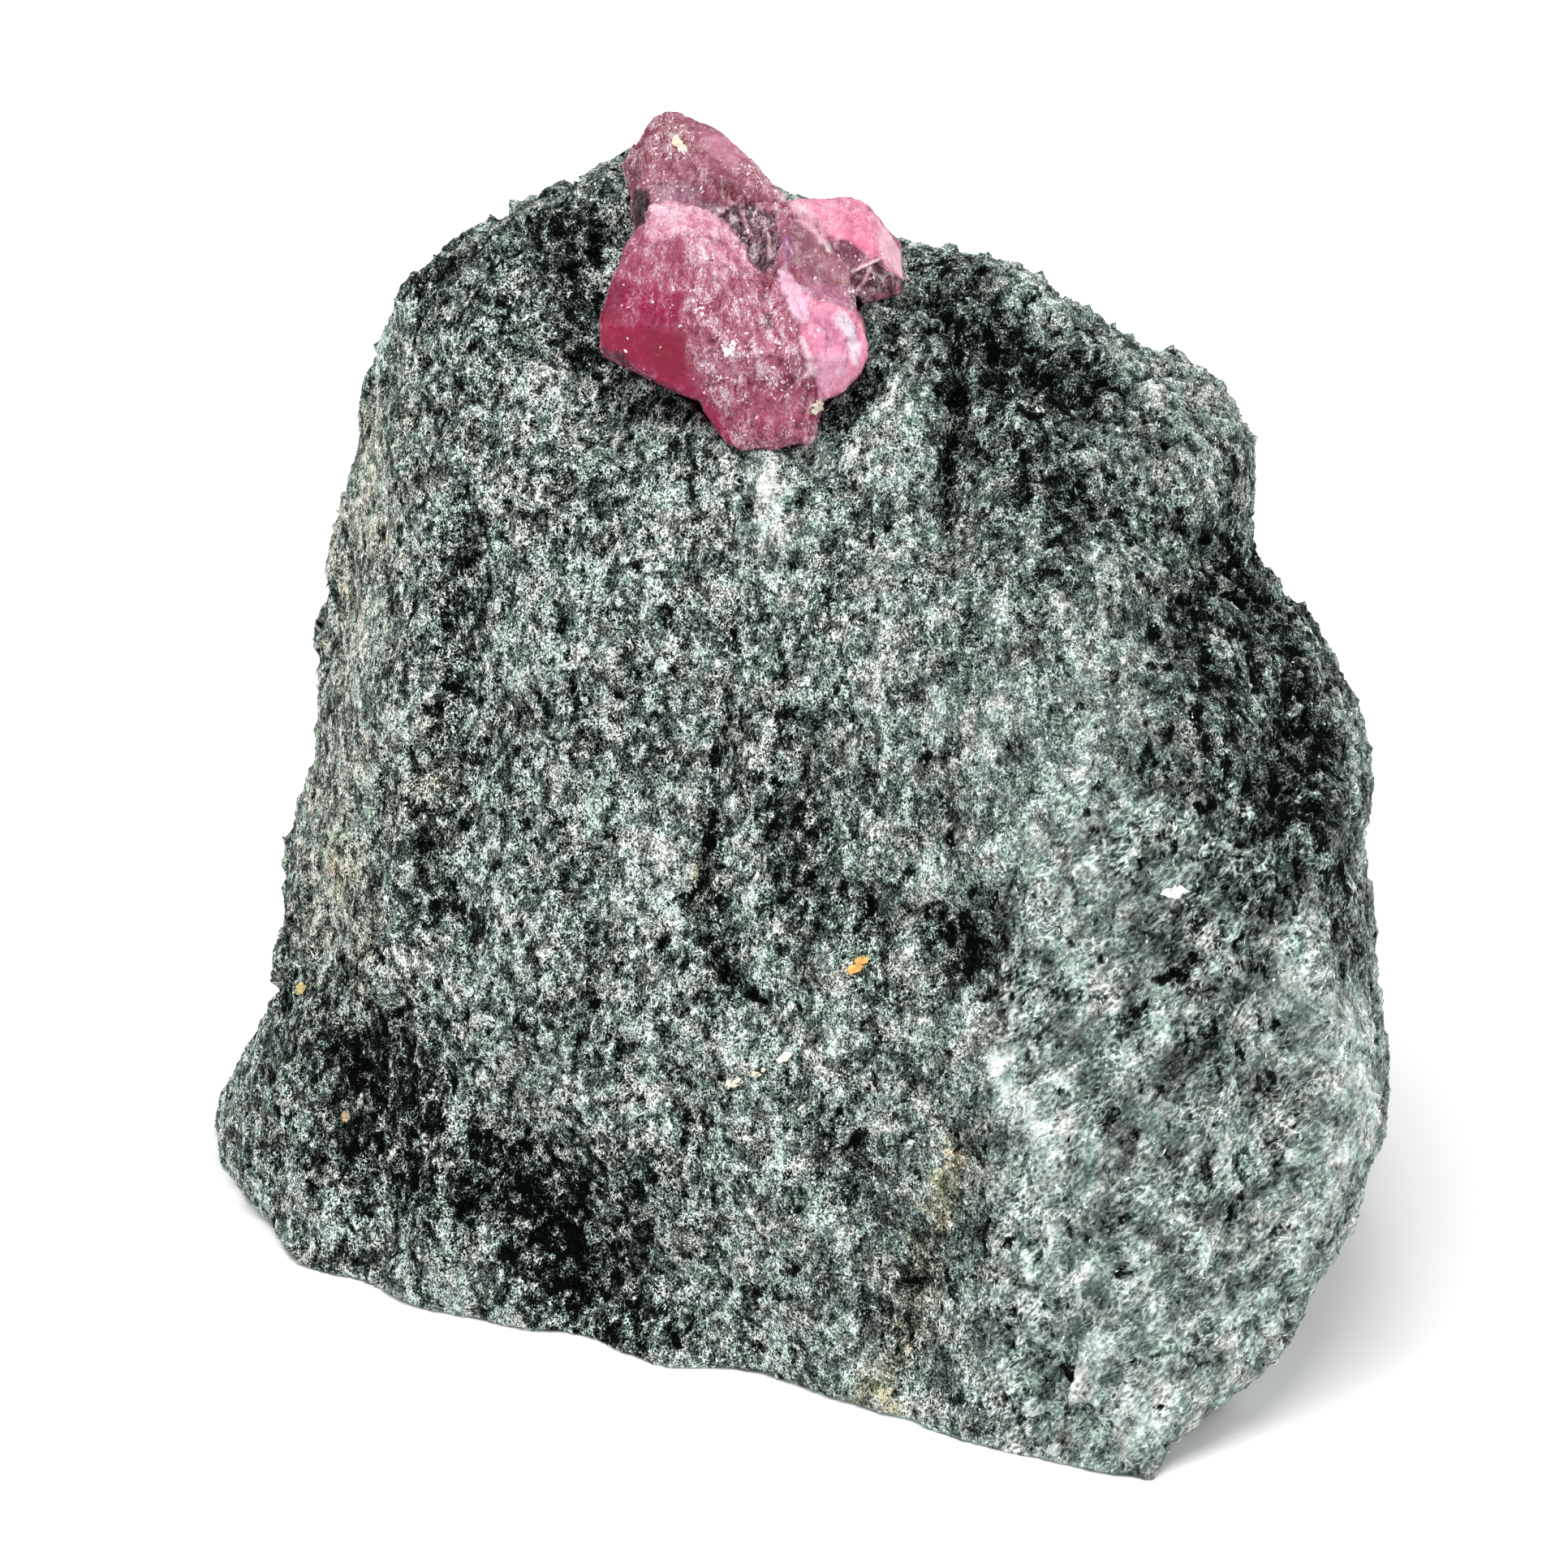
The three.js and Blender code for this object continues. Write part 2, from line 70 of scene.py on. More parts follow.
@dataclass(frozen=True)
class FaceFrame:
    """Coordinates on the broad face in millimetres: u right, v up the slope, w out of it.

    Attributes:
        origin: The middle of the floor line in the row frame, in millimetres.
        lean: How far the face leans back from upright, in radians.
    """

    origin: Point
    lean: float = math.radians(26)

    @classmethod
    def from_ruby(cls, left: float = -9.8, front: float = -18.48) -> "FaceFrame":
        """Finds the frame from the box of the ruby node.

        Args:
            left: The ruby's lowest X, measured from the middle of the floor line.
            front: The ruby's lowest Y, measured from there with the sign turned.

        Returns:
            The frame of the broad face.
        """
        low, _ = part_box("ruby")
        return cls((low.x / MM - left, low.y / MM + front, 0.0))

    def axes(self) -> np.ndarray:
        """Returns the directions of u, v and w as the rows of an array."""
        sin, cos = math.sin(self.lean), math.cos(self.lean)
        return np.array([[1, 0, 0], [0, sin, cos], [0, -cos, sin]])

    def to_face(self, points: np.ndarray) -> np.ndarray:
        """Returns u, v, w of points in the row frame, in millimetres."""
        return (points - np.array(self.origin)) @ self.axes().T

    def from_face(self, points: np.ndarray) -> np.ndarray:
        """Returns row-frame points, in millimetres, of points given as u, v, w."""
        return np.asarray(points, float) @ self.axes() + np.array(self.origin)


@dataclass(frozen=True)
class Stroke:
    """Something that follows a path on the broad face: a crack, a ridge, a stain, a pale streak, or
    a band of painted shade or of painted light.

    Attributes:
        name: What it is.
        path: Its u, v points in millimetres.
        half: Its half width in millimetres.
        amount: Its height, or how much it lightens or colours.
        ragged: How far its edge wanders, as a share of its half width.
        crisp: How suddenly it ends: 2 fades out softly, 6 has a clear edge.
    """

    name: str
    path: tuple[tuple[float, float], ...]
    half: float
    amount: float
    ragged: float = 0.5
    crisp: float = 2.0

    def over(self, uv: np.ndarray, wander: np.ndarray) -> np.ndarray:
        """Returns the stroke's amount at each point, fading out past its half width.

        Args:
            uv: Points on the face.
            wander: Smooth noise at the points, from -1 to 1.
        """
        points = np.array(self.path, float)
        ends = points[1:] if len(points) > 1 else points
        nearest = np.min([gaps_to_line(uv, *pair) for pair in zip(points, ends)], axis=0)
        share = np.clip(nearest / self.half + self.ragged * wander, 0, FADED)
        return self.amount * np.exp(-(share**self.crisp))


def gaps_to_line(points: np.ndarray, start: np.ndarray, end: np.ndarray) -> np.ndarray:
    """Returns how far flat points are from the straight line between two ends."""
    along = end - start
    share = np.clip((points - start) @ along / max(along @ along, TINY), 0, 1)
    return np.linalg.norm(points - start - share[:, None] * along, axis=1)


def summed(strokes: Sequence[Stroke], uv: np.ndarray, wander: np.ndarray) -> np.ndarray:
    """Returns the amounts of all strokes together at each point."""
    return np.sum([stroke.over(uv, wander) for stroke in strokes], axis=0)


# ------------------------------------------------------------------ mesh tools


def noise_at(points: np.ndarray, size: Sequence[float] | float, seed: float) -> np.ndarray:
    """Returns smooth noise, about -1 to 1, whose lumps have the given size on each axis."""
    scaled = points / np.asarray(size, float) + seed
    return np.array([noise.noise(Vector(p)) for p in scaled.tolist()])


def facets_at(points: np.ndarray, size: Sequence[float] | float, seed: float) -> np.ndarray:
    """Returns the height of flat-sided chips, each tilted its own way.

    Args:
        points: Where to look, in millimetres.
        size: How large a chip is on each axis.
        seed: Moves the pattern.

    Returns:
        Heights, about -0.5 to 0.5, with a value for each point.
    """
    scaled = points / np.asarray(size, float) + seed
    apart = 9.1
    heights = []
    for p in scaled.tolist():
        place = Vector(p)
        _, centres = noise.voronoi(place)
        chance = noise.cell_vector(centres[0] * apart)
        heights.append((place - centres[0]).dot(chance * 2 - Vector((1, 1, 1))))
    return np.array(heights)


def ramp(values: np.ndarray, start: float, end: float) -> np.ndarray:
    """Returns 0 before start and 1 after end, with a smooth rise between them."""
    share = np.clip((values - start) / (end - start), 0, 1)
    return share * share * (3 - 2 * share)


@dataclass
class Skin:
    """A closed surface in millimetres that is worked as arrays and then becomes a piece."""

    points: np.ndarray
    faces: list[tuple[int, ...]]
    marks: dict[str, np.ndarray] = field(default_factory=dict)

    @classmethod
    def of_node(cls, node: bpy.types.Object, voxel: float) -> "Skin":
        """Copies a CAD node's mesh, closes it, and lays an even net of square faces over it.

        Args:
            node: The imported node, which is left as it is.
            voxel: The width of the net's faces.
        """
        form = bmesh.new()
        form.from_mesh(node.data)
        bmesh.ops.remove_doubles(form, verts=form.verts, dist=WELD)
        bmesh.ops.scale(form, vec=(1 / MM,) * 3, verts=form.verts)
        mesh = bpy.data.meshes.new("closed_copy")
        form.to_mesh(mesh)
        form.free()
        holder = new_object("closed_copy", mesh)
        net = holder.modifiers.new("net", "REMESH")
        net.mode = "VOXEL"
        net.voxel_size = voxel
        even = holder.evaluated_get(bpy.context.evaluated_depsgraph_get()).to_mesh()
        points = np.empty(len(even.vertices) * 3)
        even.vertices.foreach_get("co", points)
        faces = [tuple(face.vertices) for face in even.polygons]
        bpy.data.objects.remove(holder)
        bpy.data.meshes.remove(mesh)
        return cls(points.reshape(-1, 3), faces)

    def form(self) -> bmesh.types.BMesh:
        """Returns the surface as a bmesh, which the caller frees."""
        form = bmesh.new()
        vertices = [form.verts.new(p) for p in self.points.tolist()]
        for face in self.faces:
            form.faces.new([vertices[i] for i in face])
        form.verts.ensure_lookup_table()
        form.normal_update()
        return form

    def smooth(self, rounds: int, share: float = 0.5, keep: np.ndarray | None = None) -> None:
        """Evens the surface out.

        Args:
            rounds: How many times each vertex moves towards its neighbours.
            share: How far it moves each time.
            keep: How much of its place each vertex keeps, from 0 to 1.
        """
        form = self.form()
        axes = {f"use_axis_{axis}": True for axis in "xyz"}
        for _ in range(rounds):
            bmesh.ops.smooth_vert(form, verts=form.verts, factor=share, **axes)
        evened = np.array([v.co[:] for v in form.verts])
        form.free()
        hold = 0 if keep is None else keep[:, None]
        self.points = self.points * hold + evened * (1 - hold)

    def normals(self) -> np.ndarray:
        """Returns the outward direction at each vertex."""
        form = self.form()
        found = np.array([v.normal[:] for v in form.verts])
        form.free()
        return found

    def raised(self, rounds: int) -> np.ndarray:
        """Returns how far each vertex stands out of the evened surface, below 0 in a crease.

        Args:
            rounds: How often the surface is evened, which sets how wide an edge may be.
        """
        even = Skin(self.points.copy(), self.faces)
        even.smooth(rounds)
        return np.einsum("ij,ij->i", self.points - even.points, self.normals())

    def keep_off_floor(self) -> None:
        """Lifts whatever lies under the floor up to it."""
        self.points[:, 2] = np.maximum(self.points[:, 2], 0)

    def tree(self) -> BVHTree:
        """Returns a search tree of the surface, in millimetres."""
        return BVHTree.FromPolygons(self.points.tolist(), self.faces)

    def piece(self, name: str, smooth: bool) -> bpy.types.Object:
        """Makes the object, in metres, with its marks as attributes of the points.

        Args:
            name: The name of the piece.
            smooth: Whether its faces are shaded smooth.
        """
        mesh = bpy.data.meshes.new(name)
        mesh.from_pydata((self.points * MM).tolist(), [], self.faces)
        if smooth:
            mesh.shade_smooth()
        else:
            mesh.shade_flat()
        for mark, values in self.marks.items():
            kind = "FLOAT" if values.ndim == 1 else "FLOAT_COLOR"
            attribute = mesh.attributes.new(mark, kind, "POINT")
            attribute.data.foreach_set("value" if kind == "FLOAT" else "color", values.ravel())
        mesh.update()
        return new_object(name, mesh)


def new_object(name: str, data: bpy.types.ID) -> bpy.types.Object:
    """Puts a new object into the scene."""
    made = bpy.data.objects.new(name, data)
    bpy.context.scene.collection.objects.link(made)
    return made


def signed_gaps(points: np.ndarray, tree: BVHTree, reach: float) -> tuple[np.ndarray, np.ndarray]:
    """Finds how far points are from a closed surface, below 0 inside it.

    Args:
        points: Where to measure.
        tree: The surface.
        reach: Points further away than this count as that far.

    Returns:
        The distances, and the surface's outward direction nearest to each point.
    """
    gaps = np.full(len(points), reach)
    outward = np.zeros((len(points), 3))
    for i, p in enumerate(points.tolist()):
        spot, normal, _, gap = tree.find_nearest(Vector(p), reach)
        if spot is not None:
            side = (Vector(p) - spot).dot(normal)
            gaps[i] = math.copysign(gap, side)
            outward[i] = normal
    return gaps, outward


# ------------------------------------------------------------------ shader tools


class Shader:
    """A node tree that is written as nested calls."""

    def __init__(self, tree: bpy.types.NodeTree) -> None:
        """Takes the tree to write in."""
        self.tree = tree

    def feed(self, made: bpy.types.Node, inputs: dict[str | int, Given]) -> None:
        """Gives inputs of a node, by name or number, a value or a link each."""
        for name, value in inputs.items():
            if isinstance(value, bpy.types.NodeSocket):
                self.tree.links.new(value, made.inputs[name])
            else:
                made.inputs[name].default_value = value

    def node(self, kind: str, inputs: dict | None = None, **settings) -> bpy.types.Node:
        """Adds a node.

        Args:
            kind: Its type, such as "ShaderNodeTexNoise".
            inputs: A value or a socket for each input, by name or number.
            **settings: Its other properties.

        Returns:
            The node.
        """
        made = self.tree.nodes.new(kind)
        for name, value in settings.items():
            setattr(made, name, value)
        self.feed(made, inputs or {})
        return made

    def group(self, tree: bpy.types.NodeTree, **inputs: Given) -> bpy.types.bpy_prop_collection:
        """Places a node group, with a value or a socket for each input, and returns its outputs."""
        return self.node("ShaderNodeGroup", inputs, node_tree=tree).outputs

    def maths(self, operation: str, *values: Given, clamp: bool = False) -> bpy.types.NodeSocket:
        """Returns the result of one sum on numbers or sockets."""
        inputs = dict(enumerate(values))
        return self.node("ShaderNodeMath", inputs, operation=operation, use_clamp=clamp).outputs[0]

    def product(self, first: Given, second: Given) -> bpy.types.NodeSocket:
        """Returns two values multiplied."""
        return self.maths("MULTIPLY", first, second)

    def total(self, start: Given, *parts: tuple[Given, Given]) -> bpy.types.NodeSocket:
        """Returns a start value to which each part is added, times its gain."""
        for part, gain in parts:
            start = self.maths("MULTIPLY_ADD", part, gain, start)
        return start

    def vectors(self, operation: str, first: Given, second: Given) -> bpy.types.NodeSocket:
        """Returns the result of one sum on vectors, which is a number for a dot product."""
        made = self.node("ShaderNodeVectorMath", {0: first, 1: second}, operation=operation)
        return made.outputs["Value" if operation == "DOT_PRODUCT" else "Vector"]

    def scaled(self, vector: Given, size: Given) -> bpy.types.NodeSocket:
        """Returns a place divided by a size."""
        inputs = {0: vector, "Scale": self.maths("DIVIDE", 1.0, size)}
        return self.node("ShaderNodeVectorMath", inputs, operation="SCALE").outputs["Vector"]

    def mapped(
        self, vector: Given, turn: Point = (0, 0, 0), scale: Point = (1, 1, 1)
    ) -> bpy.types.NodeSocket:
        """Returns a place scaled on each axis and then turned, in radians."""
        inputs = {"Vector": vector, "Rotation": turn, "Scale": scale}
        return self.node("ShaderNodeMapping", inputs).outputs["Vector"]

    def place(self) -> bpy.types.NodeSocket:
        """Returns the place on the piece, in metres."""
        return self.node("ShaderNodeTexCoord").outputs["Object"]

    def noise(
        self, vector: Given, scale: float, detail: float = 2, rough: float = 0.5, bend: float = 0
    ) -> bpy.types.NodeSocket:
        """Returns noise from 0 to 1, with about that many lumps for each unit of the place."""
        inputs = {"Vector": vector, "Scale": scale, "Detail": detail}
        inputs |= {"Roughness": rough, "Distortion": bend}
        return self.node("ShaderNodeTexNoise", inputs).outputs["Fac"]

    def spread(
        self, value: Given, low: float, high: float, start: float = 0, end: float = 1
    ) -> bpy.types.NodeSocket:
        """Returns a value stretched so that low and high become start and end, and held there."""
        names = ("Value", "From Min", "From Max", "To Min", "To Max")
        inputs = dict(zip(names, (value, low, high, start, end)))
        return self.node("ShaderNodeMapRange", inputs).outputs["Result"]

    def colours(self, value: Given, stops: Stops) -> bpy.types.NodeSocket:
        """Returns a colour that runs through the stops as a value runs from 0 to 1."""
        made = self.node("ShaderNodeValToRGB", {"Fac": value})
        band = made.color_ramp
        while len(band.elements) < len(stops):
            band.elements.new(0.5)
        for element, (place, colour) in zip(band.elements, stops):
            element.position = place
            element.color = (*colour, 1)
        return made.outputs["Color"]

    def mixed(
        self, share: Given, first: Given, second: Given, blend: str = "MIX"
    ) -> bpy.types.NodeSocket:
        """Returns two colours mixed by a share."""
        made = self.node("ShaderNodeMix", data_type="RGBA", blend_type=blend)
        number = {socket.identifier: i for i, socket in enumerate(made.inputs)}
        self.feed(made, {number["Factor_Float"]: share})
        for name, colour in (("A_Color", first), ("B_Color", second)):
            linked = isinstance(colour, bpy.types.NodeSocket)
            self.feed(made, {number[name]: colour if linked else (*colour, 1)})
        return next(s for s in made.outputs if s.identifier == "Result_Color")

    def attribute(self, name: str, output: str = "Fac") -> bpy.types.NodeSocket:
        """Returns a mark that the mesh carries."""
        return self.node("ShaderNodeAttribute", attribute_name=name).outputs[output]

    def bumped(self, height: Given, strength: Given = 1.0) -> bpy.types.NodeSocket:
        """Returns the surface's direction under a relief whose height is in millimetres."""
        inputs = {"Height": height, "Strength": strength, "Distance": MM}
        return self.node("ShaderNodeBump", inputs).outputs["Normal"]


def face_coordinates(shader: Shader, frame: FaceFrame) -> bpy.types.NodeSocket:
    """Returns the place on the piece in millimetres, with Z up the broad face."""
    return shader.mapped(shader.place(), (frame.lean, 0, 0), (1 / MM,) * 3)


def new_material(name: str) -> tuple[bpy.types.Material, Shader, bpy.types.Node]:
    """Makes a material with one Principled shader.

    Args:
        name: The name of the material.

    Returns:
        The material, its shader tree and its Principled node.
    """
    material = bpy.data.materials.new(name)
    material.use_nodes = True
    material.node_tree.nodes.clear()
    shader = Shader(material.node_tree)
    surface = shader.node("ShaderNodeBsdfPrincipled")
    shader.node("ShaderNodeOutputMaterial", {"Surface": surface.outputs["BSDF"]})
    return material, shader, surface


def new_group(
    name: str, inputs: Sequence[str], outputs: Sequence[str]
) -> tuple[bpy.types.NodeTree, Shader]:
    """Starts a shader node group whose first input is a vector and whose others are numbers.

    Args:
        name: The name of the group.
        inputs: The names of its inputs.
        outputs: The names of its outputs: the one named Color is a colour, the others are numbers.

    Returns:
        The group and a shader to write it with.
    """
    group = bpy.data.node_groups.new(name, "ShaderNodeTree")
    for place, given in enumerate(inputs):
        kind = "NodeSocketFloat" if place else "NodeSocketVector"
        group.interface.new_socket(given, in_out="INPUT", socket_type=kind)
    for made in outputs:
        kind = "NodeSocketColor" if made == "Color" else "NodeSocketFloat"
        group.interface.new_socket(made, in_out="OUTPUT", socket_type=kind)
    return group, Shader(group)


def chipped_group() -> bpy.types.NodeTree:
    """Builds flat-sided chips, each with its own tilt and shade.

    Returns:
        A group with the inputs Vector and Size, and the outputs Height, as high as a chip of that
        size, Shade, from 0 to 1, and Shine, which is 1 on one chip in seven.
    """
    if "flat_chips" in bpy.data.node_groups:
        return bpy.data.node_groups["flat_chips"]
    untilted = (0.5, 0.5, 0.5)
    dull_share = 0.86
    group, shader = new_group("flat_chips", ("Vector", "Size"), ("Height", "Shade", "Shine"))
    given = shader.node("NodeGroupInput").outputs
    place = shader.scaled(given["Vector"], given["Size"])
    chips = shader.node("ShaderNodeTexVoronoi", {"Vector": place, "Scale": 1.0}, feature="F1")
    offset = shader.vectors("SUBTRACT", place, chips.outputs["Position"])
    tilt = shader.vectors("SUBTRACT", chips.outputs["Color"], untilted)
    chance = shader.node("ShaderNodeSeparateColor", {"Color": chips.outputs["Color"]}).outputs
    made = {
        "Height": shader.product(shader.vectors("DOT_PRODUCT", offset, tilt), given["Size"]),
        "Shade": chance["Red"],
        "Shine": shader.maths("GREATER_THAN", chance["Green"], dull_share),
    }
    shader.node("NodeGroupOutput", made)
    return group


def mica_grain_group() -> bpy.types.NodeTree:
    """Builds the felted grain that mica schist shows.

    Returns:
        A group with the inputs Vector and Size, and the outputs Grain, about 0 to 1, and Height.
    """
    if "mica_grain" in bpy.data.node_groups:
        return bpy.data.node_groups["mica_grain"]
    felt_share, grit_share, thread_share, relief = 0.27, 0.4, 0.38, 0.2
    thick_threads, thin_threads = (1.25, 0.05), (2.5, 0.09)
    group, shader = new_group("mica_grain", ("Vector", "Size"), ("Grain", "Height"))
    given = shader.node("NodeGroupInput").outputs
    place = shader.scaled(given["Vector"], given["Size"])
    felt = shader.spread(shader.noise(place, 1.2, 3, 0.6, 0.4), *NOISE_RANGE)
    grit = shader.spread(shader.noise(place, 5.6, 1, 0.6), *NOISE_RANGE)
    curled = (_threads(shader, place, *kind) for kind in (thick_threads, thin_threads))
    woolly = shader.spread(shader.noise(place, 0.6, 1, 0.6), 0.38, 0.6, 0.35, 1)
    threads = shader.product(shader.maths("MAXIMUM", *curled), woolly)
    grain = shader.total(0.0, (grit, grit_share), (felt, felt_share), (threads, thread_share))
    height = shader.product(grain, shader.product(given["Size"], relief))
    shader.node("NodeGroupOutput", {"Grain": grain, "Height": height})
    return group


def _threads(shader: Shader, place: Given, scale: float, width: float) -> bpy.types.NodeSocket:
    """Returns curled threads: 1 along the middle of each, 0 beside it."""
    bend = shader.noise(place, scale, 1, 0.5, 0.8)
    middle = shader.maths("ABSOLUTE", shader.maths("SUBTRACT", bend, 0.5))
    return shader.spread(middle, width * 0.3, width, 1, 0)


# ------------------------------------------------------------------ finishes


@dataclass(frozen=True)
class SchistFinish:
    """Dark green-grey mica schist: felted pale threads between near-black pits of painted shade.

    Attributes:
        frame: The broad face, on which the places below lie.
        grain: The size of the felt.
        flake_size: The size of the flakes in it.
        drawn: How the grain is drawn out up the face.
        turn: How far the grain leans in the lower right, in radians.
        slant: How the leaning grain is drawn out.
        right: Between which X it starts to lean.
        low: Between which Z it starts to lean.
        upper_left: Between which X and which Z the felt grows calm.
        level: How light plain rock is, from 0 to 1.
        contrast: How strong the felt is at the two X of contrast_at.
        contrast_at: The X that contrast goes with.
        calmer: What leaning or calm places add to the contrast.
        bleached: What a light tone adds to the contrast.
        patch_gain: How much the broad patches lighten the rock.
        flake_gain: How much a pale flake lightens it.
        pit_shade_gain: How much a pit lightens it; below 0, it paints the pit's shade.
        pit_shade_edge: The noise at which a pit's painted shade starts, and at which it is full.
        pit_shade_closing: How much a light tone closes the pits.
        tone_and_shade_gain: How much a light tone lightens the rock, its painted shade and light
            included.
        bands: The colours from the painted shade of the pits to the glints, by lightness.
        hues: The hues that wander over the rock.
        stain: What an iron stain does to the colour.
        stain_share: How strong a stain is in dark and in light patches.
        cool: The hue of the lower right.
        flake_relief: The height of the flakes in the relief.
        roughness: How rough the rock is.
        glint: What a shining flake adds to the roughness.
        specular: How much light it throws back.
    """

    frame: FaceFrame
    grain: float = 0.55
    flake_size: float = 0.2
    drawn: Point = (1, 1, 0.8)
    turn: float = math.radians(-48)
    slant: Point = (0.56, 0.56, 0.28)
    right: Range = (6, 15)
    low: Range = (32, 18)
    upper_left: tuple[Range, Range] = ((-4, -12), (48, 58))
    level: float = 0.372
    contrast: Range = (0.74, 1.14)
    contrast_at: Range = (16, -8)
    calmer: float = -0.23
    bleached: float = -0.34
    patch_gain: float = 0.12
    flake_gain: float = 0.1
    pit_shade_gain: float = -0.3
    pit_shade_edge: Range = (0.41, 0.33)
    pit_shade_closing: float = 0.09
    tone_and_shade_gain: float = 0.215
    bands: Stops = (
        (0.08, (0.0015, 0.002, 0.002)),
        (0.24, (0.021, 0.0275, 0.0255)),
        (0.42, (0.136, 0.167, 0.152)),
        (0.57, (0.42, 0.485, 0.44)),
        (0.73, (0.95, 0.99, 0.97)),
    )
    hues: Stops = (
        (0.1, (0.88, 1.0, 0.92)),
        (0.4, (0.92, 1.0, 1.0)),
        (0.65, (0.99, 1.0, 0.98)),
        (0.9, (1.03, 1.0, 0.96)),
    )
    stain: Colour = (0.84, 0.62, 0.36)
    stain_share: Range = (0.3, 0.85)
    cool: Colour = (1.0, 0.985, 1.02)
    flake_relief: float = 0.6
    roughness: float = 0.7
    glint: float = -0.3
    specular: float = 0.02

    def rock_group(self) -> bpy.types.NodeTree:
        """Builds the colour and the relief of the schist.

        Returns:
            A group with the inputs Vector, in millimetres, Tone, the tone with its painted
            shade and light, and Stain, and the outputs Color, Height and Shine.
        """
        if "schist" in bpy.data.node_groups:
            return bpy.data.node_groups["schist"]
        outputs = ("Color", "Height", "Shine")
        group, shader = new_group("schist", ("Vector", "Tone", "Stain"), outputs)
        given = shader.node("NodeGroupInput").outputs
        place, tone_and_shade = given["Vector"], given["Tone"]
        drawn = shader.mapped(place, scale=self.drawn)
        spot = shader.node("ShaderNodeSeparateXYZ", {"Vector": place}).outputs
        at_right = shader.spread(spot["X"], *self.right)
        leaning = shader.product(at_right, shader.spread(spot["Z"], *self.low))
        coarse = shader.noise(drawn, 1.0, 3, 0.6)
        grained = self._grained(shader, place, drawn, shader.maths("ADD", leaning, coarse))
        grain = shader.group(mica_grain_group(), Vector=grained, Size=self.grain)
        flakes = shader.group(chipped_group(), Vector=drawn, Size=self.flake_size)
        patches = shader.spread(shader.noise(drawn, 0.38, 3, 0.6), *NOISE_RANGE, -1, 1)
        # Painted shade: near-black spots of colour stand in for the shade in small holes.
        pits = shader.spread(shader.total(coarse, (tone_and_shade, self.pit_shade_closing)), *self.pit_shade_edge)
        felt = shader.maths("SUBTRACT", grain["Grain"], 0.5)
        value = shader.total(
            self.level,
            (felt, self._contrast(shader, spot, leaning, tone_and_shade)),
            (flakes["Shade"], self.flake_gain),
            (patches, self.patch_gain),
            (pits, self.pit_shade_gain),
            (tone_and_shade, self.tone_and_shade_gain),
        )
        hues = shader.spread(shader.noise(place, 0.6, 2, 0.6), 0.35, 0.65)
        lightness, hue = shader.colours(value, self.bands), shader.colours(hues, self.hues)
        colour = shader.mixed(1.0, lightness, hue, "MULTIPLY")
        colour = shader.mixed(leaning, colour, self.cool, "MULTIPLY")
        soaked = shader.spread(patches, -1, 1, *self.stain_share)
        stained = shader.maths("MULTIPLY", given["Stain"], soaked, clamp=True)
        made = {
            "Color": shader.mixed(stained, colour, self.stain, "MULTIPLY"),
            "Height": shader.total(grain["Height"], (flakes["Height"], self.flake_relief)),
            "Shine": flakes["Shine"],
        }
        shader.node("NodeGroupOutput", made)
        return group

    def _grained(
        self, shader: Shader, place: Given, drawn: Given, leaning: Given
    ) -> bpy.types.NodeSocket:
        """Returns where the felt is read: drawn out up the face, or leaning where told above 1."""
        turned = shader.mapped(place, (0, self.turn, 0))
        slant = shader.mapped(turned, scale=self.slant)
        return shader.mixed(shader.maths("GREATER_THAN", leaning, 1.0), drawn, slant)

    def _contrast(
        self, shader: Shader, spot: bpy.types.bpy_prop_collection, leaning: Given, tone_and_shade: Given
    ) -> bpy.types.NodeSocket:
        """Returns how strong the felt is at a spot."""
        left, top = (shader.spread(spot[axis], *at) for axis, at in zip("XZ", self.upper_left))
        calm = shader.maths("ADD", leaning, shader.product(left, top))
        start = shader.spread(spot["X"], *self.contrast_at, *self.contrast)
        return shader.total(start, (calm, self.calmer), (tone_and_shade, self.bleached))

    def material(self) -> bpy.types.Material:
        """Builds the material of the block."""
        material, shader, surface = new_material("mica_schist")
        marks = {
            "Vector": face_coordinates(shader, self.frame),
            # The tone holds painted shade and light; the raised-edge mark adds painted edge light
            # and crease shade.
            "Tone": shader.total(shader.attribute("tone_and_shade"), (shader.attribute("edge_light_crease_shade"), PAINTED_EDGE_LIGHT_GAIN)),
            "Stain": shader.attribute("stain"),
        }
        rock = shader.group(self.rock_group(), **marks)
        made = {
            "Base Color": rock["Color"],
            "Roughness": shader.total(self.roughness, (rock["Shine"], self.glint)),
            "Normal": shader.bumped(rock["Height"]),
            "Specular IOR Level": self.specular,
        }
        shader.feed(surface, made)
        return material


@dataclass(frozen=True)
class MicaFinish:
    """Loose mica flakes: the schist's own colours, lighter or darker on each, and a dull shine."""

    rock: SchistFinish
    roughness: float = 0.5
    glint: float = -0.2
    specular: float = 0.05

    def material(self) -> bpy.types.Material:
        """Builds the material of the grains."""
        material, shader, surface = new_material("loose_mica")
        place = face_coordinates(shader, self.rock.frame)
        # The flakes' lightness holds the rock's tone with its painted shade and light.
        rock = shader.group(self.rock.rock_group(), Vector=place, Tone=shader.attribute("fleck"))
        made = {
            "Base Color": rock["Color"],
            "Roughness": shader.total(self.roughness, (rock["Shine"], self.glint)),
            "Specular IOR Level": self.specular,
        }
        shader.feed(surface, made)
        return material


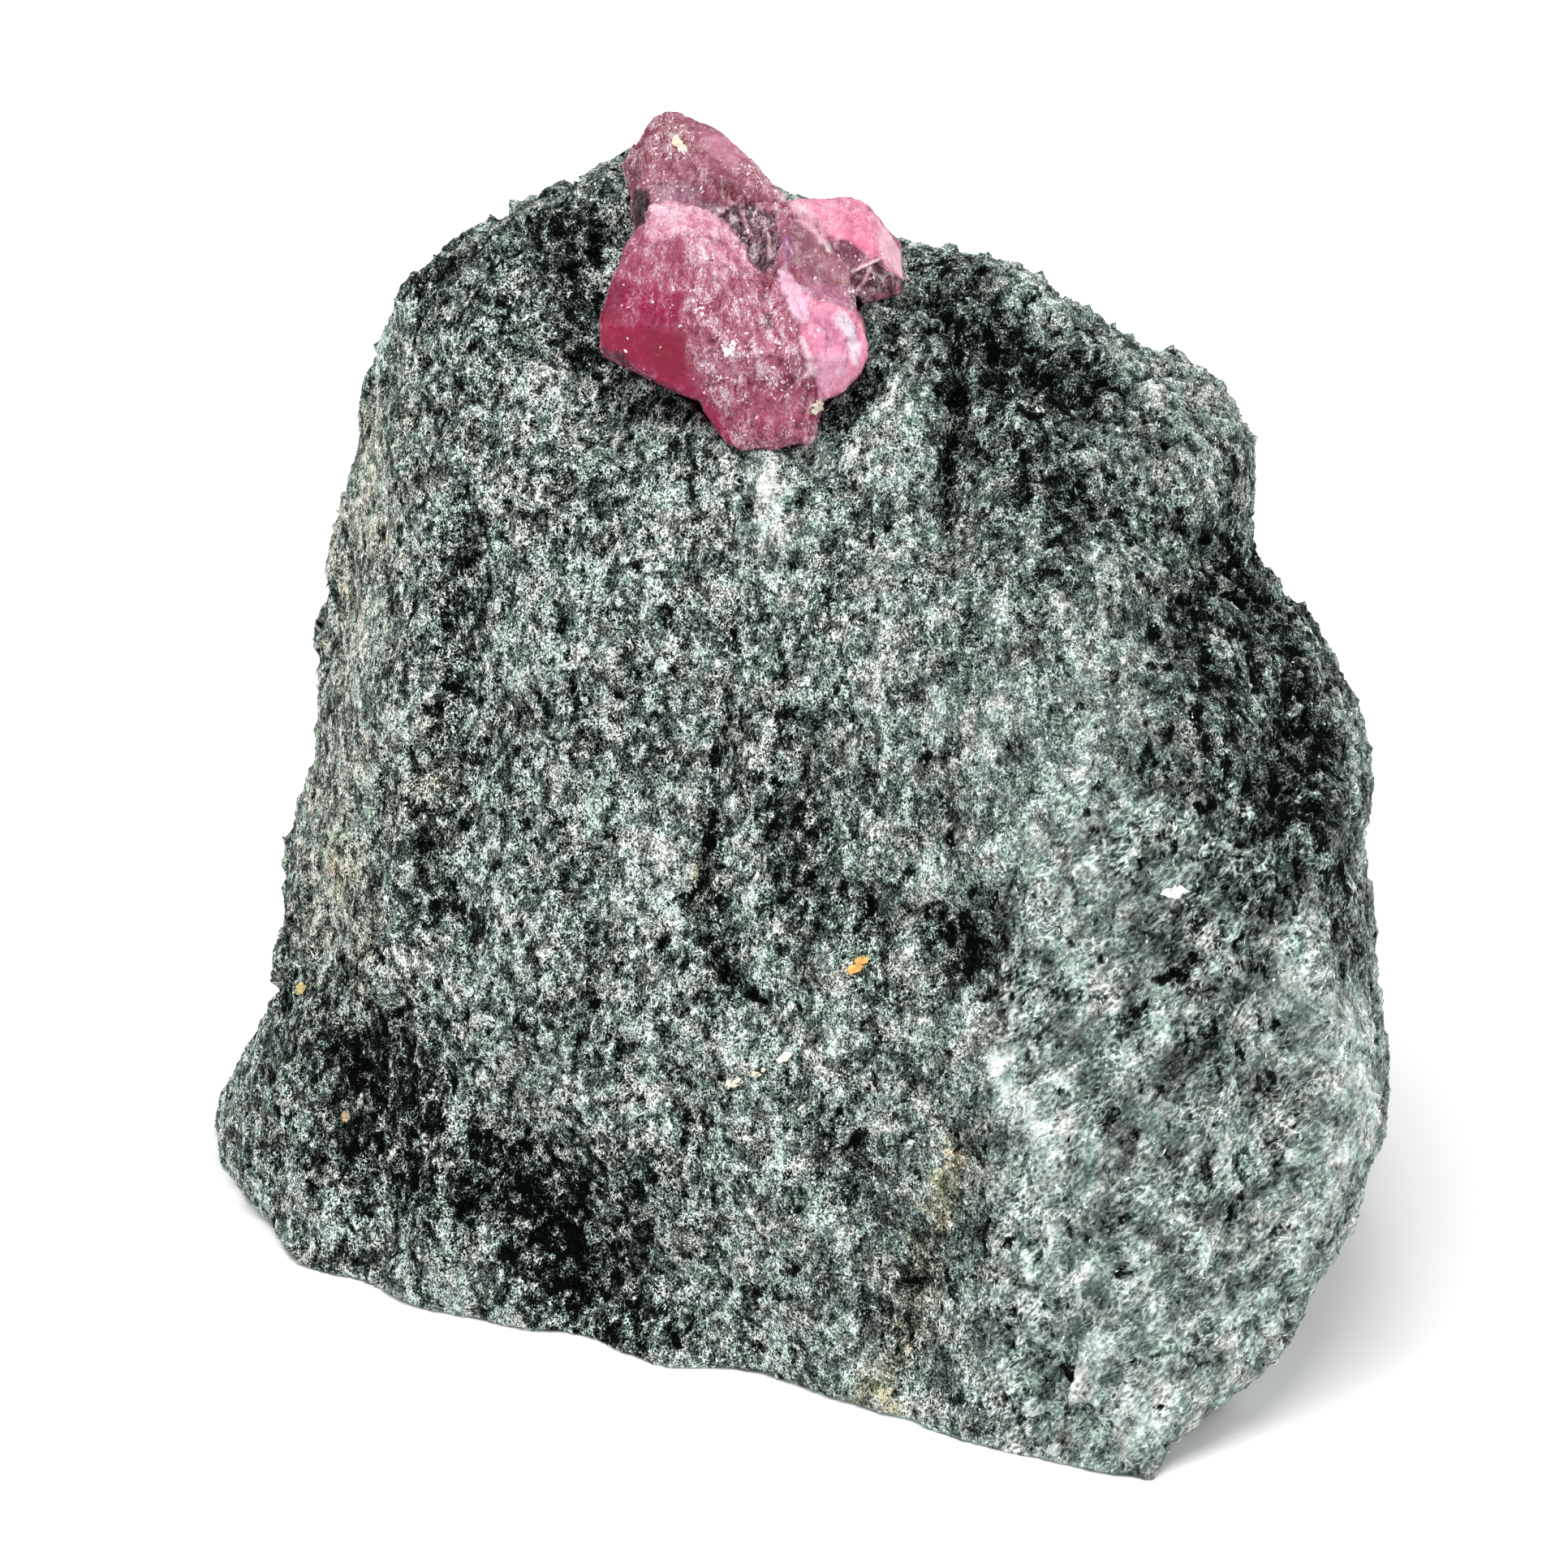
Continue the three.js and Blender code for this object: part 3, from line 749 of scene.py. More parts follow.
@dataclass(frozen=True)
class RubyFinish:
    """Pink-red corundum: clear inside, clouded by fine cracks, with frosted and glassy faces.

    Attributes:
        frame: The broad face.
        clearness: How much light goes through.
        index: How strongly it bends light.
        specular: How much light the faces throw back.
        scatter: How much light its clouds scatter.
        scatter_reach: How far they scatter it.
        scatter_tint: How far each colour of light goes in them.
        felt_size, chip_size, flake_size: The sizes of the flecks, the chips and the flakes.
        growth: The lean of the growth lines, in radians.
        drawn: How the flecks are drawn out along those lines.
        dark_at: The shade at which a place starts to darken, and at which it is darkest.
        pale_at: The same for a place that turns pale.
        painted_glint_at: The same for a painted glint.
        most: How far a place darkens, turns pale and takes a painted glint at most.
            deep, pale, glint: The colours that it then takes; glint is a painted highlight.
        inside: What its inside does to light.
        density: How much its inside absorbs for each metre.
    """

    frame: FaceFrame
    clearness: float = 0.25
    index: float = 1.77
    specular: float = 0.03
    scatter: float = 0.15
    scatter_reach: float = 0.5
    scatter_tint: Colour = (1.0, 0.35, 0.5)
    felt_size: float = 0.52
    chip_size: float = 0.7
    flake_size: float = 0.22
    growth: float = math.radians(24)
    drawn: Point = (1.4, 1.2, 0.6)
    dark_at: Range = (0.62, 0.3)
    pale_at: Range = (0.56, 0.94)
    painted_glint_at: Range = (0.8, 0.92)
    most: Point = (0.9, 0.56, 0.8)
    deep: Colour = (0.42, 0.09, 0.15)
    pale: Colour = (0.97, 0.72, 0.82)
    glint: Colour = (1.0, 0.9, 0.94)
    inside: Colour = (0.93, 0.22, 0.42)
    density: float = 190.0

    def material(self) -> bpy.types.Material:
        """Builds the material of the crystals."""
        material, shader, surface = new_material("pink_corundum")
        place = face_coordinates(shader, self.frame)
        streaked = shader.mapped(place, (0, self.growth, 0), self.drawn)
        marked = shader.node("ShaderNodeAttribute", attribute_name="tint").outputs
        chips = shader.group(chipped_group(), Vector=streaked, Size=self.chip_size)
        flakes = shader.group(chipped_group(), Vector=place, Size=self.flake_size)
        felt = shader.group(mica_grain_group(), Vector=streaked, Size=self.felt_size)["Grain"]
        cloud = shader.noise(place, 0.9, 4, 0.62, 0.8)
        milky = shader.spread(cloud, *NOISE_RANGE, -0.06, 0.34)
        shade = shader.total(milky, (chips["Shade"], 0.1), (felt, 0.82))
        colour, bright = self._flecked(shader, place, marked, shade)
        rough = shader.spread(cloud, *NOISE_RANGE, 0.1, 0.24)
        rough = shader.total(rough, (marked["Alpha"], 0.24))
        height = shader.total(flakes["Height"], (chips["Height"], 0.4), (felt, 0.06))
        made = {
            "Base Color": colour,
            "Roughness": shader.maths("MULTIPLY_ADD", bright, -0.2, rough, clamp=True),
            "Normal": shader.bumped(height, shader.spread(marked["Alpha"], 0, 1, 0.1, 0.6)),
            "Transmission Weight": self.clearness,
            "IOR": self.index,
            "Specular IOR Level": self.specular,
            "Subsurface Weight": self.scatter,
            "Subsurface Radius": self.scatter_tint,
            "Subsurface Scale": self.scatter_reach * MM,
        }
        shader.feed(surface, made)
        absorb = {"Color": (*self.inside, 1), "Density": self.density}
        volume = shader.node("ShaderNodeVolumeAbsorption", absorb)
        output = next(n for n in shader.tree.nodes if n.type == "OUTPUT_MATERIAL")
        shader.feed(output, {"Volume": volume.outputs["Volume"]})
        return material

    def _flecked(
        self, shader: Shader, place: Given, marked: bpy.types.bpy_prop_collection, shade: Given
    ) -> tuple[bpy.types.NodeSocket, bpy.types.NodeSocket]:
        """Returns the tint darkened, paled and given painted glints by the shade, and how strong
        they are.
        """
        frost = marked["Alpha"]
        most_dark, most_pale, most_painted_glint = self.most
        strength = shader.spread(frost, 0.1, 1.0, 0.2, 1.0)
        darken = shader.product(shader.spread(shade, *self.dark_at, 0, most_dark), strength)
        frosted = shader.spread(frost, 0.15, 1.0)
        lighten = shader.product(shader.spread(shade, *self.pale_at, 0, most_pale), frosted)
        # Painted glints: bright specks in the colour stand in for light glinting off the facets.
        cluster = shader.spread(shader.noise(place, 0.75, 2, 0.5), 0.4, 0.62)
        glints = shader.spread(shader.total(shade, (cluster, 0.07)), *self.painted_glint_at)
        bright = shader.product(glints, shader.spread(frost, 0.1, 1, 0, most_painted_glint))
        colour = shader.mixed(darken, marked["Color"], self.deep, "MULTIPLY")
        colour = shader.mixed(lighten, colour, self.pale)
        return shader.mixed(bright, colour, self.glint), bright


@dataclass(frozen=True)
class ChipFinish:
    """Small bright chips and foreign grains, each with the tint that its mesh carries."""

    roughness: Range = (0.22, 0.52)
    mottle: float = 0.2
    glint_whitening: float = 0.15
    white: Colour = (1, 0.94, 0.95)

    def material(self) -> bpy.types.Material:
        """Builds the material of the chips."""
        material, shader, surface = new_material("bright_chips")
        cloud = shader.noise(shader.place(), 1 / (self.mottle * MM), 2, 0.6)
        # Painted glints: white mottled over the chips stands in for light glinting off them.
        share = shader.spread(cloud, 0.35, 0.7, 0, self.glint_whitening)
        made = {
            "Base Color": shader.mixed(share, shader.attribute("tint", "Color"), self.white),
            "Roughness": shader.spread(cloud, *NOISE_RANGE, *self.roughness),
        }
        shader.feed(surface, made)
        return material


# ------------------------------------------------------------------ the ruby group


def shown(code: str, haze: float = 0.02, light: float = 0.92) -> Colour:
    """Returns the linear colour that looks like a hex code under the room's light and haze."""
    parts = (int(code[i : i + 2], 16) / 255 for i in (1, 3, 5))
    linear = (p / 12.92 if p < 0.04 else ((p + 0.055) / 1.055) ** 2.4 for p in parts)
    return tuple(min(max((c - haze) / light, 0.002), 0.97) for c in linear)


@dataclass(frozen=True)
class Patch:
    """A zone of the ruby with its own colour and finish.

    Attributes:
        name: What it is.
        outline: The corners of its outline on the broad face, as u, v in millimetres.
        colour: How it looks, as a hex code, with the light and shade on the zone painted in.
        frost: How rough and flecked it is, from 0 to 1.
        lift: How far it stands out of the crystal, in millimetres.
        soft: Half the width of its edge, in millimetres.
    """

    name: str
    outline: tuple[tuple[float, float], ...]
    colour: str
    frost: float = 0.4
    lift: float = 0.0
    soft: float = 0.16

    def over(self, uv: np.ndarray, wander: np.ndarray) -> np.ndarray:
        """Returns how far each point belongs to the patch, from 0 to 1.

        Args:
            uv: Points on the face.
            wander: How far its edge wanders at each point, in millimetres.
        """
        corners = np.array(self.outline, float)
        inside = np.zeros(len(uv), bool)
        nearest = np.full(len(uv), np.inf)
        for start, end in zip(corners, np.roll(corners, -1, axis=0)):
            nearest = np.minimum(nearest, gaps_to_line(uv, start, end))
            run, rise = end - start
            level = (uv[:, 1] - start[1]) / (rise or TINY)
            inside ^= (level >= 0) & (level < 1) & (uv[:, 0] < start[0] + run * level)
        depth = np.where(inside, nearest, -nearest)
        return ramp(depth + wander, -self.soft, self.soft)


def blended(tint: np.ndarray, code: str, share: np.ndarray) -> np.ndarray:
    """Returns colours drawn towards a hex code, each by its own share."""
    return tint + (np.array(shown(code)) - tint) * share[:, None]


@dataclass
class RubyGroup:
    """The crystals that stand in the block's top edge.

    Attributes:
        frame: The broad face.
        voxel: The width of the faces of its net.
        edge_rounding: How many rounds of smoothing its edges get.
        base, side: How the front and the turned sides look, as hex codes.
        frost: How frosted they are where no patch lies.
        edge, edge_highlight_share: The painted highlight on a raised edge, and how far the tint
            goes to it.
        edge_height: How far an edge stands out that counts as full.
        edge_highlight_at: The share of that height at which the painted highlight starts, and is
            brightest.
        crease: How much of each colour a crease loses to painted shade.
        hollow: The ribbed hollow between the upper crystal and the body.
        patches: The zones, each laid over the ones before it; the bevel and its brightest corner
            hold
        a painted highlight, and the hollow painted shade.
        streaks: The thin lines over them, each with its colour.
    """

    frame: FaceFrame
    voxel: float = 0.135
    edge_rounding: int = 2
    base: str = "#a86078"
    side: str = "#9e4c68"
    frost: float = 0.4
    edge: str = "#f4cad8"
    edge_highlight_share: float = 0.6
    edge_height: float = 0.09
    edge_highlight_at: Range = (0.25, 1.1)
    crease: Colour = (0.33, 0.4675, 0.4125)
    hollow: Stroke = Stroke("hollow", ((-3, 62.4), (-0.8, 60)), 1.3, 1.0, 0.3, 3)
    patches: tuple[Patch, ...] = (
        Patch("upper crystal", ((-9, 65.4), (-7.3, 68.2), (-6, 68.6), (-3.4, 67.4), (-1, 65.2),
              (0.5, 63.6), (0, 62.2), (-1.6, 62.8), (-3.5, 62.4), (-4.7, 63.1), (-6.7, 63.2),
              (-7.1, 62.2), (-8.2, 61.6)), "#a06070", 0.6),
        Patch("its speckled top", ((-7.5, 67.4), (-6.4, 68.2), (-4.9, 67.2), (-4.4, 66),
              (-5.6, 65.3), (-7.3, 65.5)), "#a66a72", 1.0, 0.05, 0.4),
        Patch("its smooth shoulder", ((-4.6, 67.3), (-3.1, 66.8), (-2.1, 65.6), (-2.7, 65),
              (-4, 65.8)), "#c48498", 0.2, 0.0, 0.5),
        Patch("its maroon band", ((-4, 64.3), (-2.7, 64.2), (-1.6, 63.2), (-2, 62.9),
              (-3.1, 63.3)), "#7c3040", 0.4, -0.1, 0.2),
        Patch("its mauve foot", ((-6.9, 64), (-5.6, 64.3), (-4.5, 63.9), (-4.4, 63.2),
              (-6.6, 63.2)), "#a5798d", 0.5, 0.0, 0.3),
        Patch("its left edge", ((-9, 65.6), (-7.7, 66.8), (-7.3, 65.4), (-7.9, 64), (-8.8, 64.2)),
              "#8c545e", 0.8, 0.0, 0.3),
        Patch("its dark left strip", ((-8.2, 64), (-7.3, 63.8), (-7, 63), (-7.3, 62),
              (-8.4, 61.2)), "#3a0a18", 0.2, -0.12),
        Patch("its flecked right edge", ((-2.2, 65.9), (-1, 64.9), (0.3, 63.7), (-0.3, 63),
              (-1.6, 63.9), (-2.5, 64.8)), "#c08c96", 1.0, 0.05, 0.25),
        Patch("slope over the hollow", ((-4.6, 63.3), (-3.5, 63.1), (-2.7, 62.9), (-3.5, 62.4),
              (-4.5, 62.7)), "#a48896", 1.0, -0.1),
        # Painted shade: the hollow is darkened where shade falls in it.
        Patch("hollow", ((-3.5, 62.4), (-2.7, 63), (-1.6, 62.9), (-0.6, 62.5), (-0.2, 61.4),
              (-0.5, 59.8), (-1.1, 59.1), (-1.7, 59.4), (-2.2, 60.3), (-2.8, 61.6)), "#6c5662",
              1.0, -0.3, 0.14),
        Patch("strip right of the hollow", ((-0.6, 62.3), (0.1, 62.2), (0, 60.9), (-0.2, 59.3),
              (-0.6, 59.4), (-0.3, 61.1)), "#c48aa4", 0.7),
        Patch("body, upper left", ((-8.6, 61.4), (-6.7, 60.8), (-5.1, 60.4), (-4.6, 58.7),
              (-7.1, 58.2), (-9, 58.4)), "#b05e78", 0.6, 0.0, 0.6),
        Patch("body, left", ((-9.2, 58.6), (-4.8, 58.7), (-5.2, 55.8), (-7.1, 56.4), (-10, 57.2)),
              "#a02a52", 0.42, 0.0, 0.7),
        Patch("hot left edge", ((-9.2, 58.8), (-10, 57.4), (-10, 56.4), (-8.8, 56.7),
              (-8.3, 58.6)), "#861e44", 0.2, 0.0, 0.3),
        Patch("body, middle", ((-4.8, 59.4), (-1.6, 59.3), (0.1, 58.6), (1.1, 55.5), (1.4, 53.7),
              (-2.7, 53.3), (-4.8, 53.8), (-5.4, 55.8)), "#c0788f", 1.0, 0.0, 0.9),
        Patch("deep lower left", ((-10, 56.7), (-7.1, 56.5), (-5.3, 55.7), (-4.8, 53.8),
              (-4.8, 51.9), (-7.4, 52.8), (-10.4, 54.2)), "#a00a4c", 0.16, 0.0, 0.5),
        Patch("deepest", ((-7.3, 56.1), (-5.4, 55.6), (-4.9, 53.8), (-5.8, 53.6), (-7, 54.4)),
              "#900040", 0.12, 0.0, 0.8),
        Patch("foot in the shade", ((-10.4, 55.2), (-8.9, 55), (-8, 54.3), (-8.6, 53),
              (-10.4, 53.4)), "#5c2238", 0.4),
        Patch("lower crimson edge", ((-5.6, 53), (-4.6, 53.1), (-3.5, 52.1), (-3, 50.9), (-2, 50),
              (-3.1, 49), (-5, 51)), "#a02450", 0.3),
        Patch("tongue", ((-4.6, 53.5), (-2.7, 53.6), (1.7, 53.6), (2.1, 51.8), (1.5, 49.8),
              (-2.2, 49.6), (-3.2, 51.4)), "#aa5a72", 0.95, 0.0, 0.3),
        Patch("its smooth middle", ((-1.6, 53), (0.8, 53), (1.1, 51.4), (-0.6, 50.6),
              (-1.8, 51.4)), "#b46078", 0.5, 0.0, 0.4),
        # Painted highlight: the bevel and its brightest corner are lightened where light catches
        # the edge.
        Patch("bevel", ((-7.1, 63), (-6, 63.2), (-4.6, 62.7), (-3.6, 62.3), (-3, 61.9),
              (-2.2, 60.5), (-1.5, 59.3), (-2.2, 59.4), (-3, 60.7), (-4.4, 61.1), (-5.4, 61.3),
              (-6.5, 60.7), (-7.4, 60.9), (-7.4, 62)), "#e8a6c0", 0.8, 0.1, 0.13),
        Patch("its brightest corner", ((-6.9, 62.9), (-5.9, 63), (-4.9, 62.5), (-5.4, 61.8),
              (-6.8, 61.6)), "#fccfe0", 0.6, 0.03, 0.25),
        Patch("streaks under the bevel", ((-5.3, 61.1), (-3.1, 60.6), (-2.2, 59.3), (-3.5, 59),
              (-4.9, 60)), "#e4a0b8", 1.0, 0.0, 0.25),
        Patch("right face", ((0.2, 58.6), (2, 57.7), (3.7, 57.4), (4.7, 55.3), (4.3, 53.8),
              (2, 52.2), (1.6, 53.8), (0.9, 55.8)), "#f29cba", 0.45, 0.0, 0.12),
        Patch("its hot foot", ((1.8, 55.1), (3.2, 54.7), (3.3, 53.8), (2.1, 52.7), (1.6, 53.8)),
              "#ffb4d2", 0.35, 0.0, 0.3),
        Patch("its lavender heart", ((2, 56.9), (2.9, 56.7), (3.2, 55.3), (2.3, 55.1), (1.8, 56)),
              "#e29cc0", 0.5, 0.0, 0.6),
        Patch("its white seam", ((-0.4, 59.4), (0.4, 59.2), (1.2, 57.6), (1.3, 56.4), (0.7, 56.4),
              (-0.1, 58.1)), "#fbc8de", 0.4, 0.12, 0.12),
        Patch("foot of the seam", ((0.9, 55.6), (1.4, 54.8), (1.8, 53.6), (1.2, 53.6), (1, 54.7)),
              "#ffd6e6", 0.35, 0.1),
        Patch("its white streak", ((2.9, 57.3), (3.4, 57), (4, 55.5), (3.9, 54.2), (3.5, 54.3),
              (3.3, 55.6), (2.8, 56.5)), "#fbe2f2", 0.5, 0.06, 0.14),
        Patch("mauve plane", ((0.9, 59.1), (2.7, 59.1), (3.9, 58.2), (3.8, 57.2), (2, 57.6),
              (1, 58.1)), "#bc8099", 0.45),
        Patch("brown prism", ((0, 62), (0.9, 62.1), (2, 61), (3.7, 59.4), (3.5, 58.4), (1.8, 58.7),
              (0.4, 59.8)), "#946470", 0.35, 0.05, 0.12),
        Patch("its paler side", ((1.6, 60.4), (2.2, 60.6), (3.6, 59.3), (3.4, 58.6), (2, 59)),
              "#a8747e", 0.4, 0.0, 0.2),
        Patch("lavender strip", ((-0.1, 61.2), (0.25, 61.1), (0.5, 60.2), (0, 59.4)), "#a86c98",
              0.4),
        Patch("right top", ((0.1, 63.5), (2.3, 63.8), (4, 63.6), (5, 62.3), (6.5, 60.3),
              (6.5, 58.8), (4.7, 60.1), (2.6, 61), (0.9, 62.1)), "#ee9cb6", 0.45, 0.05, 0.1),
        Patch("its cream left edge", ((0.1, 63.4), (1.1, 63.3), (2, 62), (2.6, 60.8), (1.9, 60.9),
              (0.8, 62.1)), "#ffc4d2", 0.5, 0.05, 0.2),
        Patch("its deeper middle", ((3, 61.5), (4.6, 61.3), (4.7, 60.4), (3.4, 60.8)), "#ee86a6",
              0.2, 0.0, 0.5),
        Patch("its pale right facet", ((5, 62.2), (5.7, 61.4), (6.5, 60.3), (6.5, 58.9),
              (5.7, 59.8), (5.1, 60.7)), "#ffc8d2", 0.2, 0.04, 0.1),
        Patch("dark chunk", ((2.6, 60.9), (3.1, 61.1), (4.5, 60.3), (3.6, 59.4), (2.7, 60)),
              "#7a4458", 0.35, 0.12, 0.07),
        Patch("dark chunk on the right", ((3.8, 59.4), (4.9, 60.1), (6.3, 59), (5.7, 58.2),
              (3.6, 58.4)), "#4c1e2a", 0.4, 0.0, 0.1),
        Patch("grey bits", ((3.2, 58.6), (4.8, 58.5), (4.5, 57.7), (3.6, 57.3)), "#8f7076", 1.0,
              0.1, 0.1),
    )
    streaks: tuple[tuple[Stroke, str], ...] = (
        (Stroke("rib in the hollow", ((-2.9, 62.5), (-2.5, 61.4), (-2, 60.5)), 0.09, 0.9, 0.5, 3),
                "#d9b4c0"),
        (Stroke("second rib", ((-2.2, 62.7), (-1.9, 61.6), (-1.6, 60.6)), 0.1, 1.0, 0.5, 3),
                "#f0d0da"),
        (Stroke("third rib", ((-1.7, 62.2), (-1.45, 61)), 0.08, 0.8, 0.5, 3), "#e0bcc8"),
        (Stroke("fourth rib", ((-1.2, 62.3), (-1.05, 61.2), (-1, 60.2)), 0.1, 1.0, 0.5, 3),
                "#f0d4dc"),
        (Stroke("fifth rib", ((-0.75, 62), (-0.65, 60.8)), 0.08, 0.8, 0.5, 3), "#d8b0c0"),
        (Stroke("last rib", ((-0.35, 61.6), (-0.4, 60.2)), 0.07, 0.7, 0.5, 3), "#dcb4c6"),
        (Stroke("glints over the hollow", ((-4.2, 63), (-3.4, 62.8), (-2.9, 62.9)), 0.12, 0.7, 0.9,
                3), "#e6d2dc"),
        (Stroke("line on the chunks", ((3.6, 59.35), (5.5, 60.3)), 0.09, 1.0, 0.3, 4), "#f7cdd8"),
        (Stroke("curve on the chunks", ((3.7, 58.2), (4.3, 58.9), (4.6, 59.6)), 0.07, 0.9, 0.3, 4),
                "#e9b7c4"),
        (Stroke("line in the bits", ((3.4, 58.4), (4.1, 57.9)), 0.08, 0.8, 0.3, 4), "#d9c0c4"),
        (Stroke("pale grain", ((2.3, 60.9), (2.45, 60.6)), 0.22, 1.0, 0.3, 5), "#f6e6dc"),
        (Stroke("line in the lavender strip", ((0.1, 60.9), (0.5, 60.2)), 0.06, 0.9, 0.2, 4),
                "#f0d2ea"),
        (Stroke("sparkling line over the tongue", ((-2.9, 54.6), (-1.2, 54.8), (0.6, 55)), 0.14,
                0.6, 0.9, 3), "#f1c4d2"),
        (Stroke("thread at the tongue's left", ((-2.7, 53.4), (-2.9, 52.2)), 0.05, 0.7, 0.2, 4),
                "#e9a4b8"),
        (Stroke("grey grain", ((-0.9, 56.6), (-0.8, 56.3)), 0.3, 0.7, 0.6, 3), "#8b8583"),
        (Stroke("brown edge of the fleck", ((-6, 66.9), (-5.4, 66.3)), 0.16, 0.8, 0.5, 4),
                "#b5764e"),
    )

    def build(self) -> tuple[bpy.types.Object, Skin]:
        """Models the crystals and dresses them.

        Returns:
            The piece and its surface, in millimetres.
        """
        skin = Skin.of_node(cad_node("ruby"), self.voxel)
        skin.smooth(self.edge_rounding)
        self._work(skin)
        piece = skin.piece("ruby_crystals", smooth=True)
        piece.data.materials.append(RubyFinish(self.frame).material())
        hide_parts("ruby")
        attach(piece, BODY)
        return piece, skin

    def _work(self, skin: Skin) -> None:
        """Lays the patches over the crystals, each with its step, and breaks the surface up.

        The tint that it leaves holds how frosted each vertex is in its fourth value.
        """
        face = self.frame.to_face(skin.points)
        uv = face[:, :2]
        rough, fine = noise_at(face, 0.8, 4.2), noise_at(face, 0.3, 9.1)
        wander = 0.16 * rough + 0.14 * fine
        front = ramp(skin.normals() @ self.frame.axes()[2] + 0.15 * rough, -0.15, 0.2)
        tint = blended(np.tile(shown(self.side), (len(face), 1)), self.base, front)
        frost = np.full(len(face), self.frost)
        lift = np.zeros(len(face))
        for patch in self.patches:
            share = patch.over(uv, wander) * front
            tint = blended(tint, patch.colour, share)
            frost += (patch.frost - frost) * share
            lift += (patch.lift - lift) * share
        for stroke, colour in self.streaks:
            tint = blended(tint, colour, stroke.over(uv, rough + fine) * front)
        self._chip(skin, face, frost, lift)
        # Painted highlight on raised edges and painted shade in creases.
        broken = np.clip(0.75 + 1.5 * noise_at(face, 0.45, 2.2), 0.15, 1)
        skin.marks["tint"] = np.hstack([self._edge_light_crease_shade(skin, tint, broken), frost[:, None]])

    def _chip(self, skin: Skin, face: np.ndarray, frost: np.ndarray, lift: np.ndarray) -> None:
        """Breaks the flat faces up: flat-sided chips where it is frosted, fine lines elsewhere."""
        chips = facets_at(face, (1.3, 1.8, 1.2), 3.3)
        crumbs = facets_at(face, (0.45, 0.7, 0.45), 6.1)
        waves = noise_at(face, (1.9, 1.4, 1.9), 2.4)
        lines = noise_at(face, (2.4, 0.22, 2.4), 7.7)
        ribs = noise_at(face, (0.26, 2.6, 0.5), 5.9) * self.hollow.over(face[:, :2], waves)
        broken = (0.06 + 0.18 * frost) * chips + 0.1 * frost * crumbs
        lift = lift + broken + 0.05 * waves + 0.014 * lines + 0.22 * ribs
        skin.points = skin.points + skin.normals() * lift[:, None]

    def _edge_light_crease_shade(self, skin: Skin, tint: np.ndarray, broken: np.ndarray) -> np.ndarray:
        """Returns the tint with a painted highlight on broken raised edges and painted shade in
        creases.
        """
        raised = skin.raised(rounds=8) / self.edge_height
        tint = blended(tint, self.edge, ramp(raised, *self.edge_highlight_at) * self.edge_highlight_share * broken)
        return tint * (1 - np.clip(-raised, 0, 1)[:, None] * np.array(self.crease))


# ------------------------------------------------------------------ the block of schist


